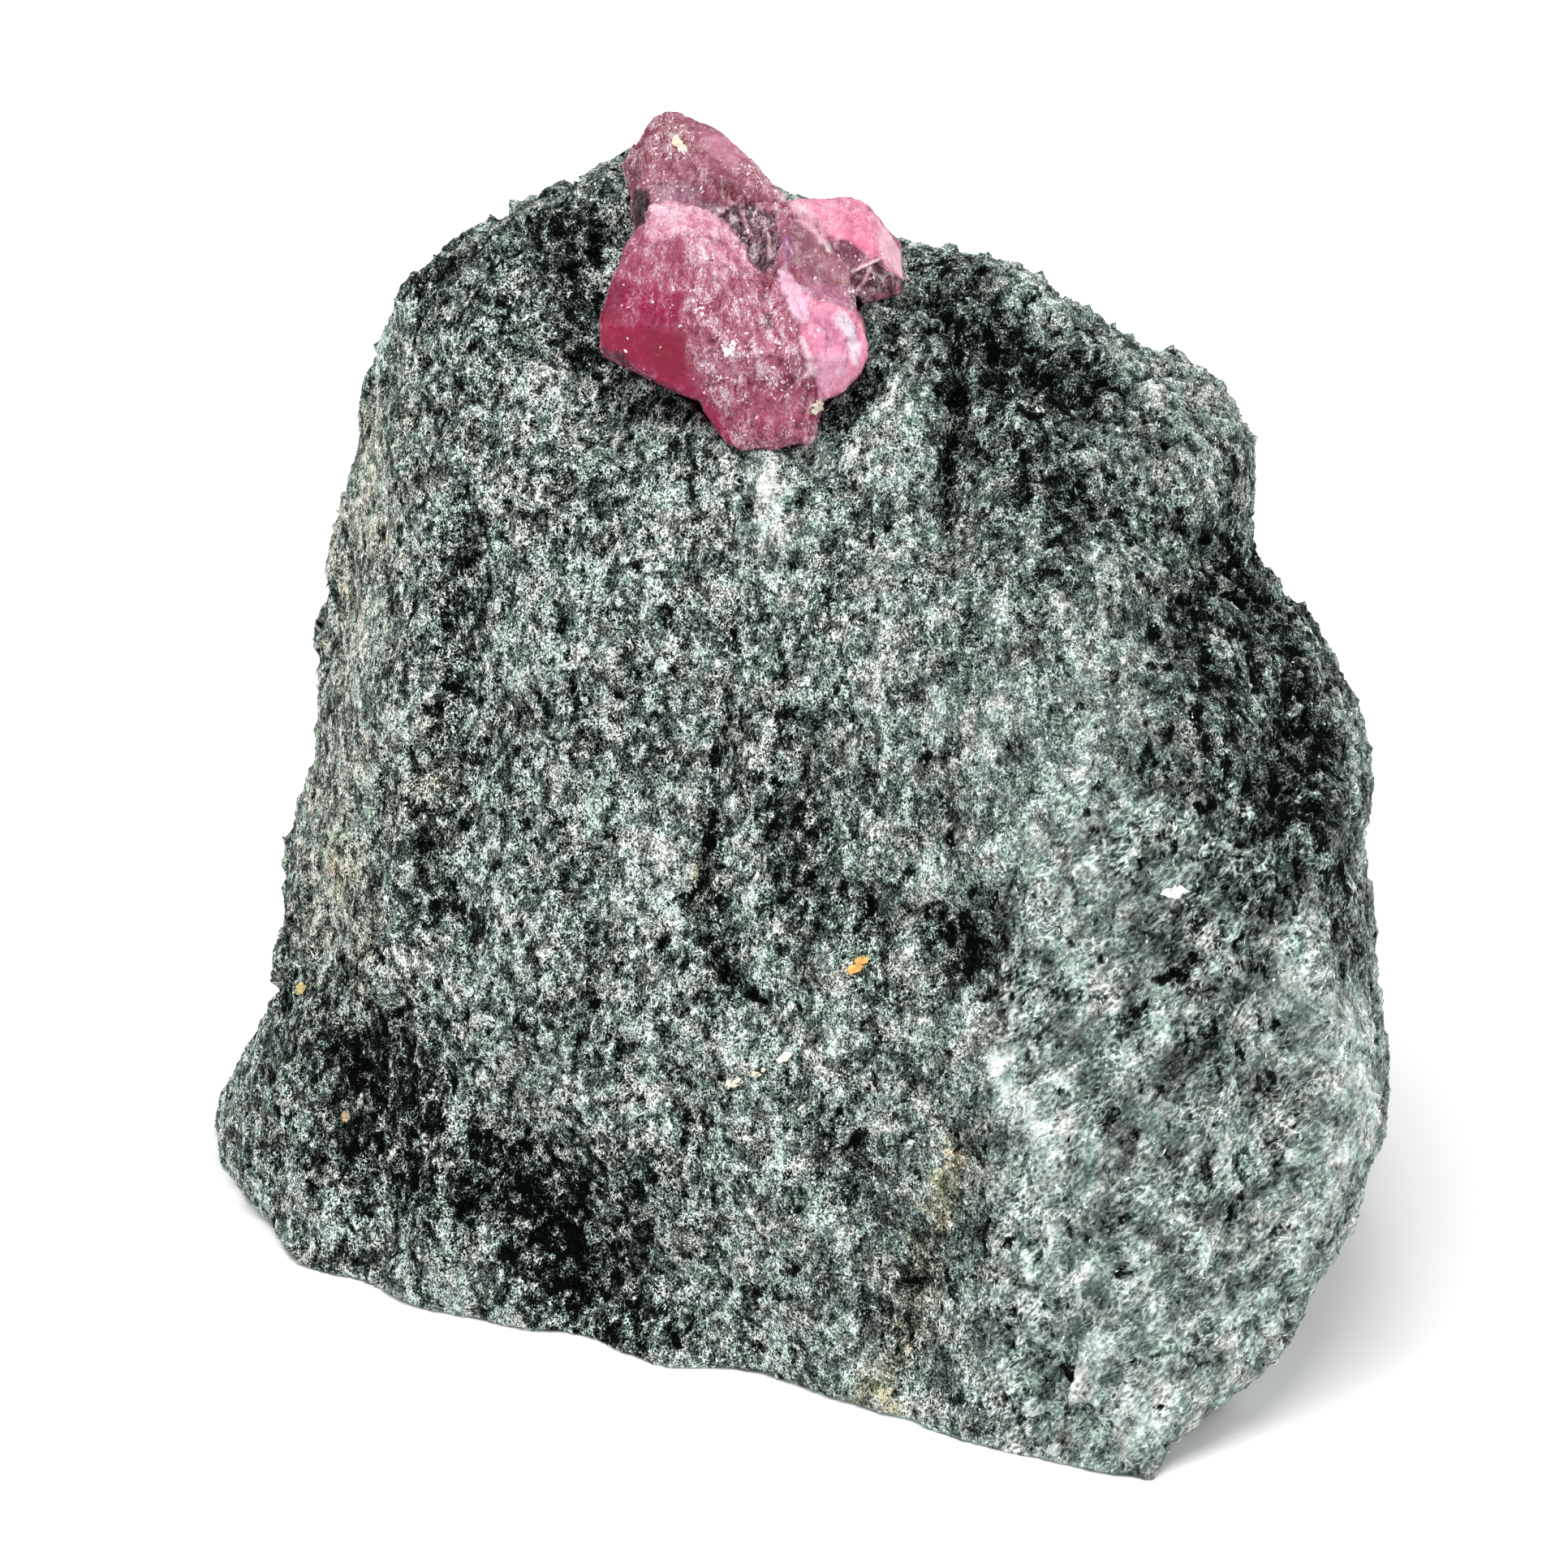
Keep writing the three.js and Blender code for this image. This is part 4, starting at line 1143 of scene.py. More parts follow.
@dataclass
class SchistBlock:
    """The block that the ruby stands in, with the relief that is too fine for its solid.

    Attributes:
        frame: The broad face.
        voxel: The width of the faces of its net.
        rounding: How many rounds of smoothing its broken edges get.
        rim_kept: How much of its place the socket's rim keeps in that.
        rim_reach: How far from the ruby the rim is whole, and where it ends.
        seat_reach: How far from the ruby the rim is drawn up to it.
        seat_full: How far from it the rim is drawn all the way.
        seat_overlap: How deep the rim then reaches into the ruby.
        base_fade: Between which heights over the floor the relief grows to its full size.
        layers: The size, the seed and the height of each layer of broken chips.
        relief: The cracks, seams, furrows and pits.
        hackly: Where the chips are higher than elsewhere.
        tones_and_shade: The light and the dark places, many of them painted shade and painted
            light.
        stains: The stained places.
        edge_light_rounds, edge_light_height: How wide and how high a raised edge is that counts as
        full, for the painted edge light and crease shade.
    """

    frame: FaceFrame
    voxel: float = 0.4
    rounding: int = 9
    rim_kept: float = 0.8
    rim_reach: Range = (0.6, 2.4)
    seat_reach: float = 1.1
    seat_full: float = 0.4
    seat_overlap: float = 0.07
    base_fade: Range = (0.02, 0.5)
    layers: tuple[tuple[Point, float, float], ...] = (
        ((2.7, 3.9, 2.7), 8.3, 0.42),
        ((1.25, 1.8, 1.25), 4.6, 0.3),
        ((0.75, 1.0, 0.75), 1.2, 0.18),
    )
    relief: tuple[Stroke, ...] = (
        Stroke("crack right of the ruby", ((9.2, 56.8), (9.5, 52.5), (8.7, 48.2), (8.5, 45.6)),
               0.42, -0.9),
        Stroke("crack under the recess", ((11.2, 55), (13.6, 53.8), (16.6, 52.2)), 0.6, -0.9),
        Stroke("seam, top", ((-2.9, 47), (-2.6, 42), (-2.9, 37)), 0.35, -0.25, 0.9),
        Stroke("seam, middle", ((-2.9, 37), (-3.8, 31), (-4.5, 26), (-4.2, 24)), 0.45, -0.5, 1.0),
        Stroke("seam, hook", ((-4.2, 24), (-3.1, 21.8), (-1.2, 20.3)), 0.5, -0.8, 1.2),
        Stroke("pit in the middle", ((8.3, 24.8), (9.4, 23.4)), 0.75, -0.6, 1.4),
        Stroke("holes over the fleck", ((3.4, 26.4), (4.8, 25.2), (3.8, 24)), 0.7, -0.6, 1.1),
        Stroke("pit under the crack", ((9.3, 40.8),), 0.6, -0.5),
        Stroke("pit low in the middle", ((7.1, 5.4),), 0.6, -0.6),
        Stroke("holes under the shoulder", ((23, 43.8), (25.4, 42.2), (26.4, 40.2)), 0.9, -0.9,
               1.2),
        Stroke("holes right of the middle", ((21.2, 41), (22.4, 38.4)), 0.7, -0.5, 1.2),
        Stroke("left furrow", ((-18.6, 44), (-18, 38), (-18.8, 32), (-19.4, 27)), 0.9, -0.35, 0.9),
        Stroke("left furrow, low", ((-21, 21), (-22.2, 16), (-22, 10)), 1.2, -0.4, 0.9),
    )
    hackly: tuple[Stroke, ...] = (
        Stroke("ledges of the recess", ((9, 57), (14, 55), (20, 52)), 3.4, 1.5),
        Stroke("groove", ((22, 44), (26, 41), (28, 33)), 3.0, 1.0),
        Stroke("top left edge", ((-19, 58), (-13, 62)), 3.0, 0.9),
        Stroke("lower left", ((-24, 14), (-16, 9), (-9, 4)), 5.0, 0.7),
        Stroke("scar", ((1, 33), (2, 25)), 4.0, 0.5),
    )
    # Painted shade and light: the strokes named shade, and those for the recess, the crack, the
    # groove and the dark beside it, the shoulder, the scar and its rim, the right rim, the lower
    # left and the foot, darken where shade falls; bright middle right and bright run down paint
    # light. The others lighten or darken the rock where they lie.
    tones_and_shade: tuple[Stroke, ...] = (
        Stroke("shade left of the ruby", ((-10.2, 63.6), (-10.6, 59.5), (-10.2, 55.6)), 1.9, -0.6),
        Stroke("shade under the ruby's left", ((-9, 53.4), (-6.4, 52), (-4.2, 50)), 1.3, -0.45),
        Stroke("shade right of the ruby's foot", ((3, 51.2), (5, 53.6), (6.4, 56.6)), 1.0, -0.5),
        Stroke("top left edge", ((-19, 59.6), (-14, 60.8), (-11, 62)), 2.0, -0.5),
        Stroke("upper left", ((-14, 56), (-15, 49)), 4.0, -0.16),
        Stroke("recess", ((9.6, 56.6), (12.6, 54.6), (16, 52.6)), 2.4, -0.84),
        Stroke("dark under the recess", ((10.6, 52), (13, 49.6), (14.6, 47)), 2.8, -0.6),
        Stroke("top edge over the recess", ((6, 61), (9.6, 60)), 1.4, -0.5),
        Stroke("dark of the shoulder", ((17, 46), (21, 46.6), (24, 49)), 1.9, -0.45),
        Stroke("crack", ((9.2, 56), (9.4, 52), (8.8, 46)), 0.7, -0.6),
        Stroke("groove under the shoulder", ((23.6, 43.6), (26.4, 40.6), (27.4, 36), (27.6, 31)),
               2.0, -0.95),
        Stroke("dark of the right rim", ((26, 31), (25, 26)), 2.6, -0.5),
        Stroke("dark beside the groove", ((21.4, 41), (22.6, 37), (23.4, 33)), 2.0, -0.7),
        Stroke("bright middle right", ((9, 36), (13, 35), (15, 31)), 2.8, 0.3),
        Stroke("bright run down", ((12.5, 29), (15, 27), (18, 22)), 2.0, 0.25),
        Stroke("dark right of the run", ((21, 24), (23, 17)), 1.5, -0.4),
        Stroke("dark at the right rim", ((29.6, 27), (30.2, 23)), 1.1, -0.5),
        Stroke("dark lower left corner", ((-27, 17), (-27, 12)), 2.4, -0.35),
        Stroke("pale under the ruby", ((-1.1, 48), (-0.8, 45.6)), 1.3, 0.75),
        Stroke("white patch", ((11.2, 17.4), (11.6, 15.8)), 0.9, 1.0),
        Stroke("streak from the patch", ((11.4, 16.4), (14, 14), (16.8, 12.6)), 1.0, 0.35, 1.0),
        Stroke("white spot", ((20.3, 26.4),), 0.5, 1.1),
        Stroke("pale right edge", ((29.6, 20), (30.2, 15), (29.4, 11)), 1.4, 0.5),
        Stroke("pale streak, right", ((25.4, 24), (28, 18)), 1.0, 0.4),
        Stroke("bright, left of the seam", ((-6.4, 31), (-6, 26)), 1.8, 0.35),
        Stroke("scar", ((-0.6, 36), (0, 31), (0.6, 27)), 2.2, -0.35),
        Stroke("scar rim", ((-3.6, 30), (-4.3, 26), (-3, 22), (-1, 20.6)), 0.7, -0.7, 1.1),
        Stroke("pit shade", ((8.2, 24.8), (9.6, 23)), 1.1, -0.75, 1.4),
        Stroke("holes shade", ((3.6, 26), (4.6, 24.6)), 1.0, -0.5),
        Stroke("pale band below the scar", ((0, 19.4), (2, 18.4)), 0.9, 0.4),
        Stroke("furrow shade", ((-18.4, 46), (-18, 38), (-18.6, 31), (-19, 26)), 1.8, -0.4, 0.8),
        Stroke("dark lower left", ((-22, 17), (-20, 11), (-16, 10), (-12, 8)), 3.4, -1.12),
        Stroke("dark foot", ((-12, 6), (-9, 3), (-10, -1)), 2.4, -0.85),
        Stroke("dark foot, middle", ((-13, 11.5), (-7, 9)), 2.0, -0.35),
        Stroke("pale rib", ((-16.4, 8), (-18, 4)), 1.0, 0.6),
        Stroke("light left flank", ((-21.8, 53), (-23, 46), (-23.6, 36), (-24.4, 26)), 1.7, 0.36),
        Stroke("shade under the left edge", ((-18.5, 57.6), (-16, 55)), 1.6, -0.3),
        Stroke("lower right", ((12, 11), (16, 4), (21, 1), (25, 9)), 5.5, 0.24),
        Stroke("pit low shade", ((7.2, 5.4),), 0.9, -0.7),
        Stroke("dark along the stain", ((7.6, 8), (7, 5)), 0.8, -0.3, 1.2),
    )
    stains: tuple[Stroke, ...] = (
        Stroke("olive stain", ((9.2, 12.6), (7.6, 8), (6.6, 3), (5, 0)), 1.0, 0.95, 1.0),
        Stroke("base stain", ((-1, -0.4), (4, -1.6)), 0.9, 0.7, 0.9),
        Stroke("rust at the left edge", ((-24, 28), (-22.6, 24), (-23.4, 14)), 1.1, 0.35),
        Stroke("brown left flank", ((-22.4, 52), (-24, 42), (-24.6, 34), (-25.4, 24)), 2.6, 0.5,
               0.7),
        Stroke("furrow stain", ((-19.4, 34), (-19.6, 28)), 1.1, 0.4),
        Stroke("stain by the fleck", ((3.9, 22.4),), 0.5, 0.6),
        Stroke("scar rim stain", ((-4.6, 28), (-4.8, 25)), 0.35, 0.8),
    )
    edge_light_rounds: int = 6
    edge_light_height: float = 0.12

    def build(self, ruby: Skin) -> tuple[bpy.types.Object, Skin]:
        """Models the block round the ruby and dresses it.

        Args:
            ruby: The finished surface of the crystals.

        Returns:
            The piece and its surface, in millimetres.
        """
        skin = Skin.of_node(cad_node("matrix"), self.voxel)
        tree = ruby.tree()
        gaps, _ = signed_gaps(skin.points, tree, reach=3.0)
        skin.smooth(self.rounding, keep=self.rim_kept * (1 - ramp(gaps, *self.rim_reach)))
        self._roughen(skin)
        self._seat(skin, tree)
        skin.keep_off_floor()
        self._mark(skin)
        piece = skin.piece("schist_block", smooth=True)
        piece.data.materials.append(SchistFinish(self.frame).material())
        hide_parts("matrix")
        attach(piece, BODY)
        return piece, skin

    def _roughen(self, skin: Skin) -> None:
        """Raises the hackly relief: lumps drawn out along the foliation, chips, cracks and pits."""
        face = self.frame.to_face(skin.points)
        uv = face[:, :2]
        outward = skin.normals()
        front = ramp(outward @ self.frame.axes()[2], -0.1, 0.6)
        wander = 1.4 * noise_at(face, 1.4, 1.9) + noise_at(face, 0.6, 5.3)
        swells = noise_at(face, (3.4, 6.0, 3.4), 2.7)
        hackly = 0.45 + 0.3 * (1 - front) + 0.6 * ramp(noise_at(face, 7, 3.3), 0, 0.5)
        hackly += summed(self.hackly, uv, wander)
        chips = sum(height * facets_at(face, size, seed) for size, seed, height in self.layers)
        fading = front * np.clip(0.75 + wander, 0.25, 1.3)
        lift = 0.26 * swells + hackly * chips + fading * summed(self.relief, uv, wander)
        lift *= ramp(skin.points[:, 2], *self.base_fade)
        skin.points = skin.points + outward * lift[:, None]

    def _seat(self, skin: Skin, ruby: BVHTree) -> None:
        """Draws the rim of the socket up to the crystals, so that no gap shows round them."""
        gaps, outward = signed_gaps(skin.points, ruby, self.seat_reach)
        share = 1 - ramp(gaps, self.seat_full, self.seat_reach)
        move = (-self.seat_overlap - gaps) * share
        skin.points = skin.points + outward * move[:, None]

    def _mark(self, skin: Skin) -> None:
        """Marks the tone with painted shade and light, the stain, and painted edge light and crease
        shade.
        """
        face = self.frame.to_face(skin.points)
        uv = face[:, :2]
        front = ramp(skin.normals() @ self.frame.axes()[2], -0.2, 0.35)
        wander = noise_at(face, 1.3, 6.6) + 0.6 * noise_at(face, 0.6, 3.1)
        clouds = 0.14 * noise_at(face, (5, 8, 5), 7.9)
        spots = 0.24 * noise_at(face, (1.6, 2.4, 1.6), 5.5)
        fluting = 0.16 * noise_at(face, (1.5, 9, 1.5), 4.4)
        turned_away = 0.35 * (1 - front) * noise_at(face, (8, 11, 8), 2.2)
        # The noise is the rock's own tone; the strokes add painted shade, painted light and pale
        # grains.
        tone_and_shade = clouds + spots + fluting + turned_away + front * summed(self.tones_and_shade, uv, wander)
        stain = 0.25 * ramp(noise_at(face, (7, 9, 7), 9.4), 0.25, 0.6) * (1 - front)
        stain += front * summed(self.stains, uv, wander)
        # Painted edge light and crease shade: raised edges are lightened, creases darkened.
        skin.marks["edge_light_crease_shade"] = np.clip(skin.raised(self.edge_light_rounds) / self.edge_light_height, -1, 1)
        skin.marks["tone_and_shade"] = np.clip(tone_and_shade, -1.2, 1.2)
        skin.marks["stain"] = np.clip(stain, 0, 1)


# ------------------------------------------------------------------ loose grains


class Batch(Enum):
    """The layers of mica that lie on the block, from the long flakes to the fine dust."""

    LONG = "mica_flakes_long"
    MIDDLE = "mica_flakes_middle"
    FINE = "mica_flakes_fine"


@dataclass(frozen=True)
class GrainSize:
    """How large the flakes of a batch are.

    Attributes:
        count: How many there are.
        length: The shortest and the longest, in millimetres.
        width: The share of its length that a flake is wide.
        tilt: How far a flake stands up from the surface, in radians.
        light: How much lighter than the rock the batch is.
    """

    count: int
    length: tuple[float, float]
    width: float
    tilt: float
    light: float


def spots_on(
    skin: Skin, wanted: np.ndarray, count: int, rng: np.random.Generator
) -> tuple[np.ndarray, np.ndarray, np.ndarray]:
    """Picks places on a surface, the more of them where more are wanted.

    Args:
        skin: The surface.
        wanted: How much each vertex wants.
        count: How many places to pick.
        rng: The source of chance.

    Returns:
        The places, the outward directions there, and a vertex near each.
    """
    halves = [(f[2], f[3], f[0]) for f in skin.faces if len(f) > 3]
    corners = np.array([f[:3] for f in skin.faces] + halves)
    a, b, c = (skin.points[corners[:, i]] for i in range(3))
    cross = np.cross(b - a, c - a)
    area = np.linalg.norm(cross, axis=1)
    weight = area * wanted[corners].mean(axis=1)
    picked = rng.choice(len(corners), count, p=weight / weight.sum())
    s, t = rng.random((2, count, 1))
    over = s + t > 1
    s, t = np.where(over, 1 - s, s), np.where(over, 1 - t, t)
    places = a[picked] + s * (b - a)[picked] + t * (c - a)[picked]
    outward = cross[picked] / area[picked][:, None]
    return places, outward, corners[picked, 0]


def flake_skin(
    places: np.ndarray,
    along: np.ndarray,
    outward: np.ndarray,
    sizes: np.ndarray,
    rng: np.random.Generator,
) -> Skin:
    """Makes one closed eight-sided flake at each place.

    Args:
        places: The middles of the flakes.
        along: The direction of each flake's length.
        outward: The direction that its flat side faces.
        sizes: Half of its length, width and thickness.
        rng: The source of chance.

    Returns:
        All flakes as one surface.
    """
    axes = np.stack([along, np.cross(outward, along), outward], axis=1)
    rim = [(1, 0, 0), (0, 1, 0), (-1, 0, 0), (0, -1, 0)]
    corners = np.array([*rim, (0, 0, 1), (0, 0, -1)], float)
    jitter = rng.uniform(-0.35, 0.35, (len(places), FLAKE_CORNERS, 3))
    local = (corners + jitter) * sizes[:, None, :]
    points = places[:, None, :] + local @ axes
    around = [(i, (i + 1) % len(rim)) for i in range(len(rim))]
    sides = np.array([(i, j, 4) for i, j in around] + [(j, i, 5) for i, j in around])
    starts = np.arange(len(places))[:, None, None] * FLAKE_CORNERS
    faces = (starts + sides).reshape(-1, 3)
    return Skin(points.reshape(-1, 3), [tuple(face) for face in faces.tolist()])


def unit(vectors: np.ndarray) -> np.ndarray:
    """Returns one vector, or each of many, at length 1."""
    return vectors / np.linalg.norm(vectors, axis=-1, keepdims=True)


@dataclass
class MicaGrains:
    """The mica flakes that give the block its sparkle, in three batches.

    Attributes:
        frame: The broad face.
        seed: Starts the chances.
        batches: How large the flakes of each batch are.
        variety: How much the lightness of the flakes differs.
        back_share: How many flakes the sides and the back get, against the front.
        clear_of_ruby: How far from the ruby the flakes start, and where all are there.
        clear_of_floor: The same over the floor.
        turned_right: Between which u the flakes turn towards the lower right.
        turned_low: Between which v they turn back.
        turned_angle: How far they turn, in radians.
        turn_spread: How much their turn differs, in radians.
        tilt_spread: The share of a batch's tilt that most flakes stay under.
        width_spread: How much narrower or wider they are than the batch says.
        thickness: How thick they are for their length.
    """

    frame: FaceFrame
    seed: int = 41
    batches: dict[Batch, GrainSize] = field(
        default_factory=lambda: {
            Batch.LONG: GrainSize(14000, (0.26, 0.5), 0.3, 0.5, 0.15),
            Batch.MIDDLE: GrainSize(22000, (0.16, 0.34), 0.4, 0.7, 0.15),
            Batch.FINE: GrainSize(24000, (0.1, 0.22), 0.5, 0.8, 0.2),
        }
    )
    variety: float = 0.45
    back_share: float = 0.45
    clear_of_ruby: Range = (0.02, 0.12)
    clear_of_floor: Range = (0.08, 0.25)
    turned_right: Range = (7, 17)
    turned_low: Range = (12, 26)
    turned_angle: float = math.radians(52)
    turn_spread: float = 0.5
    tilt_spread: float = 0.6
    width_spread: Range = (0.7, 1.3)
    thickness: float = 0.28

    def build(self, block: Skin, ruby: Skin) -> list[bpy.types.Object]:
        """Scatters the flakes over the block.

        Args:
            block: The block's finished surface.
            ruby: The crystals' surface, which is kept clear.

        Returns:
            The pieces.
        """
        face = self.frame.to_face(block.points)
        # Each flake takes the rock's tone, with its painted shade and light and its painted edge
        # light.
        tone_and_shade = block.marks["tone_and_shade"] + block.marks["edge_light_crease_shade"] * PAINTED_EDGE_LIGHT_GAIN
        wanted = self._wanted(block, ruby)
        finish = MicaFinish(SchistFinish(self.frame)).material()
        rng = np.random.default_rng(self.seed)
        pieces = []
        for batch, size in self.batches.items():
            places, outward, nearest = spots_on(block, wanted, size.count, rng)
            flakes = self._flakes(size, places, outward, face[nearest], rng)
            flakes.keep_off_floor()
            light = rng.normal(size.light, self.variety, size.count) + tone_and_shade[nearest]
            flakes.marks["fleck"] = np.repeat(light, FLAKE_CORNERS)
            piece = flakes.piece(batch.value, smooth=False)
            piece.data.materials.append(finish)
            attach(piece, BODY)
            pieces.append(piece)
        return pieces

    def _wanted(self, block: Skin, ruby: Skin) -> np.ndarray:
        """Returns how many flakes each vertex of the block wants: none by the ruby or the floor."""
        gaps, _ = signed_gaps(block.points, ruby.tree(), reach=1.0)
        front = ramp(block.normals() @ self.frame.axes()[2], -0.3, 0.3)
        share = self.back_share + (1 - self.back_share) * front
        share *= ramp(gaps, *self.clear_of_ruby)
        return share * ramp(block.points[:, 2], *self.clear_of_floor)

    def _flakes(
        self,
        size: GrainSize,
        places: np.ndarray,
        outward: np.ndarray,
        face: np.ndarray,
        rng: np.random.Generator,
    ) -> Skin:
        """Lays flakes of one size at the places, most of them along the foliation."""
        right, up, out = self.frame.axes()
        count = len(places)
        low_right = ramp(face[:, 0], *self.turned_right) * (1 - ramp(face[:, 1], *self.turned_low))
        turn = self.turned_angle * low_right + rng.normal(0, self.turn_spread, count)
        grain = np.cos(turn)[:, None] * up + np.sin(turn)[:, None] * right
        lifted = unit(outward + rng.normal(0, size.tilt * self.tilt_spread, outward.shape))
        across = np.einsum("ij,ij->i", grain, lifted)[:, None]
        along = unit(grain - across * lifted + 1e-6 * out)
        half = rng.uniform(*size.length, count) / 2
        width = size.width * rng.uniform(*self.width_spread, count)
        sizes = np.stack([half, half * width, half * self.thickness], axis=1)
        return flake_skin(places, along, lifted, sizes, rng)


@dataclass(frozen=True)
class Fleck:
    """A foreign grain on the face.

    Attributes:
        name: What it is.
        place: Its u, v in millimetres.
        half: Half its length and half its width.
        turn: How far its length turns from level, in radians.
        colour: Its colour.
    """

    name: str
    place: tuple[float, float]
    half: tuple[float, float]
    turn: float
    colour: Colour


@dataclass
class BrightGrains:
    """The chips that glitter on the ruby, and the few foreign grains on the block.

    Attributes:
        frame: The broad face.
        seed: Starts the chances.
        chip_count: How many chips the ruby gets.
        chip_length: The shortest and the longest.
        chip_width: How wide they are for their length.
        chip_thickness: How thick they are for it.
        chip_tilt: How far they stand up, in radians.
        chip_pale_and_glint: What their tint goes to: a pale pink that is partly painted glint.
        chip_share: How far it goes there.
        bits: How many bits a foreign grain is broken into.
        bit_spread: How much of the grain's half sizes the bits lie in.
        bit_tilt: How far they stand up and turn, in radians.
        bit_length: Half their length, for half the width of the grain.
        bit_width: How wide they are for their length.
        bit_thickness: How thick they are for it.
        bit_shade: How dark and how light they are, for the colour of the grain.
        bit_lift: How far their middles lie over the surface.
        above: How far over the face a grain is looked for, outward to inward.
        flecks: The foreign grains.
    """

    frame: FaceFrame
    seed: int = 7
    chip_count: int = 2600
    chip_length: Range = (0.07, 0.36)
    chip_width: Range = (0.3, 0.9)
    chip_thickness: float = 0.2
    chip_tilt: float = 0.35
    chip_pale_and_glint: Colour = (0.97, 0.78, 0.85)
    chip_share: Range = (0.2, 1.0)
    bits: int = 18
    bit_spread: float = 0.8
    bit_tilt: float = 0.3
    bit_length: Range = (0.5, 1.1)
    bit_width: Range = (0.45, 0.9)
    bit_thickness: float = 0.3
    bit_shade: Range = (0.75, 1.05)
    bit_lift: float = 0.05
    above: float = 40.0
    flecks: tuple[Fleck, ...] = (
        Fleck("rust grain", (3.9, 22.4), (0.68, 0.28), 0.75, (0.82, 0.4, 0.05)),
        Fleck("white grain", (0, 17.5), (0.38, 0.22), 0.5, (0.9, 0.86, 0.74)),
        Fleck("veinlet", (-2, 16.4), (1.9, 0.22), 0.42, (0.82, 0.78, 0.62)),
        Fleck("veinlet, end", (4.6, 16), (0.9, 0.18), -0.95, (0.7, 0.7, 0.62)),
        Fleck("white grain on the right", (20.4, 26.4), (0.5, 0.34), 0.3, (0.84, 0.87, 0.85)),
        Fleck("white grain in the patch", (11.2, 17.2), (0.42, 0.32), 1.2, (0.93, 0.95, 0.92)),
        Fleck("yellow spot", (-26.7, 20.7), (0.2, 0.32), 0.1, (0.62, 0.5, 0.16)),
        Fleck("ochre spot", (-24, 13.8), (0.16, 0.28), 0.2, (0.5, 0.36, 0.2)),
        Fleck("white fleck on the ruby", (-2.8, 55), (0.5, 0.24), 1.1, (0.93, 0.86, 0.9)),
        Fleck("cream fleck on the ruby", (-5.6, 66.3), (0.62, 0.26), -0.8, (0.88, 0.72, 0.58)),
        Fleck("pale speck at the foot", (1.8, 52.1), (0.22, 0.34), 0.3, (0.86, 0.76, 0.62)),
    )

    def build(self, block: Skin, ruby: Skin) -> list[bpy.types.Object]:
        """Makes the ruby's chips and the foreign grains.

        Args:
            block: The block's finished surface.
            ruby: The crystals' finished surface.

        Returns:
            The pieces.
        """
        finish = ChipFinish().material()
        chips = self._chips(block, ruby).piece("ruby_chips", smooth=False)
        flecks = self._flecks(block, ruby).piece("foreign_grains", smooth=False)
        for piece, slot in ((chips, "ruby"), (flecks, "schist")):
            piece.data.materials.append(finish)
            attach(piece, BODY)
        return [chips, flecks]

    def _chips(self, block: Skin, ruby: Skin) -> Skin:
        """Scatters bright chips over the frosted parts of the crystals that show."""
        count = self.chip_count
        rng = np.random.default_rng(self.seed)
        gaps, _ = signed_gaps(ruby.points, block.tree(), reach=1.0)
        seen = ramp(gaps, 0.05, 0.2)
        clustered = ramp(noise_at(ruby.points, 0.9, 2.6), -0.1, 0.35)
        wanted = seen * clustered * np.clip(ruby.marks["tint"][:, 3], 0, 1) ** 2
        places, outward, nearest = spots_on(ruby, wanted, count, rng)
        lifted = unit(outward + rng.normal(0, self.chip_tilt, outward.shape))
        along = unit(np.cross(lifted, rng.normal(0, 1, outward.shape)))
        low, high = self.chip_length
        half = (low + (high - low) * rng.random(count) ** 3) / 2
        width = rng.uniform(*self.chip_width, count)
        sizes = np.stack([half, half * width, half * self.chip_thickness], axis=1)
        chips = flake_skin(places, along, lifted, sizes, rng)
        share = rng.uniform(*self.chip_share, (count, 1))
        # The pale pink is partly the chips' own colour and partly a painted glint.
        tint = ruby.marks["tint"][nearest, :3] * (1 - share) + np.array(self.chip_pale_and_glint) * share
        tint = np.hstack([tint, np.ones((count, 1))])
        chips.marks["tint"] = np.repeat(tint, FLAKE_CORNERS, axis=0)
        return chips

    def _flecks(self, block: Skin, ruby: Skin) -> Skin:
        """Breaks each foreign grain into a few angular bits on the surface that it is seen on."""
        rng = np.random.default_rng(self.seed)
        trees = (block.tree(), ruby.tree())
        bits = [self._bit(fleck, trees, rng) for fleck in self.flecks for _ in range(self.bits)]
        places, along, outward, sizes, tints = (np.array(values) for values in zip(*bits))
        grains = flake_skin(places, along, outward, sizes, rng)
        grains.marks["tint"] = np.repeat(np.clip(tints, 0, 1), FLAKE_CORNERS, axis=0)
        return grains

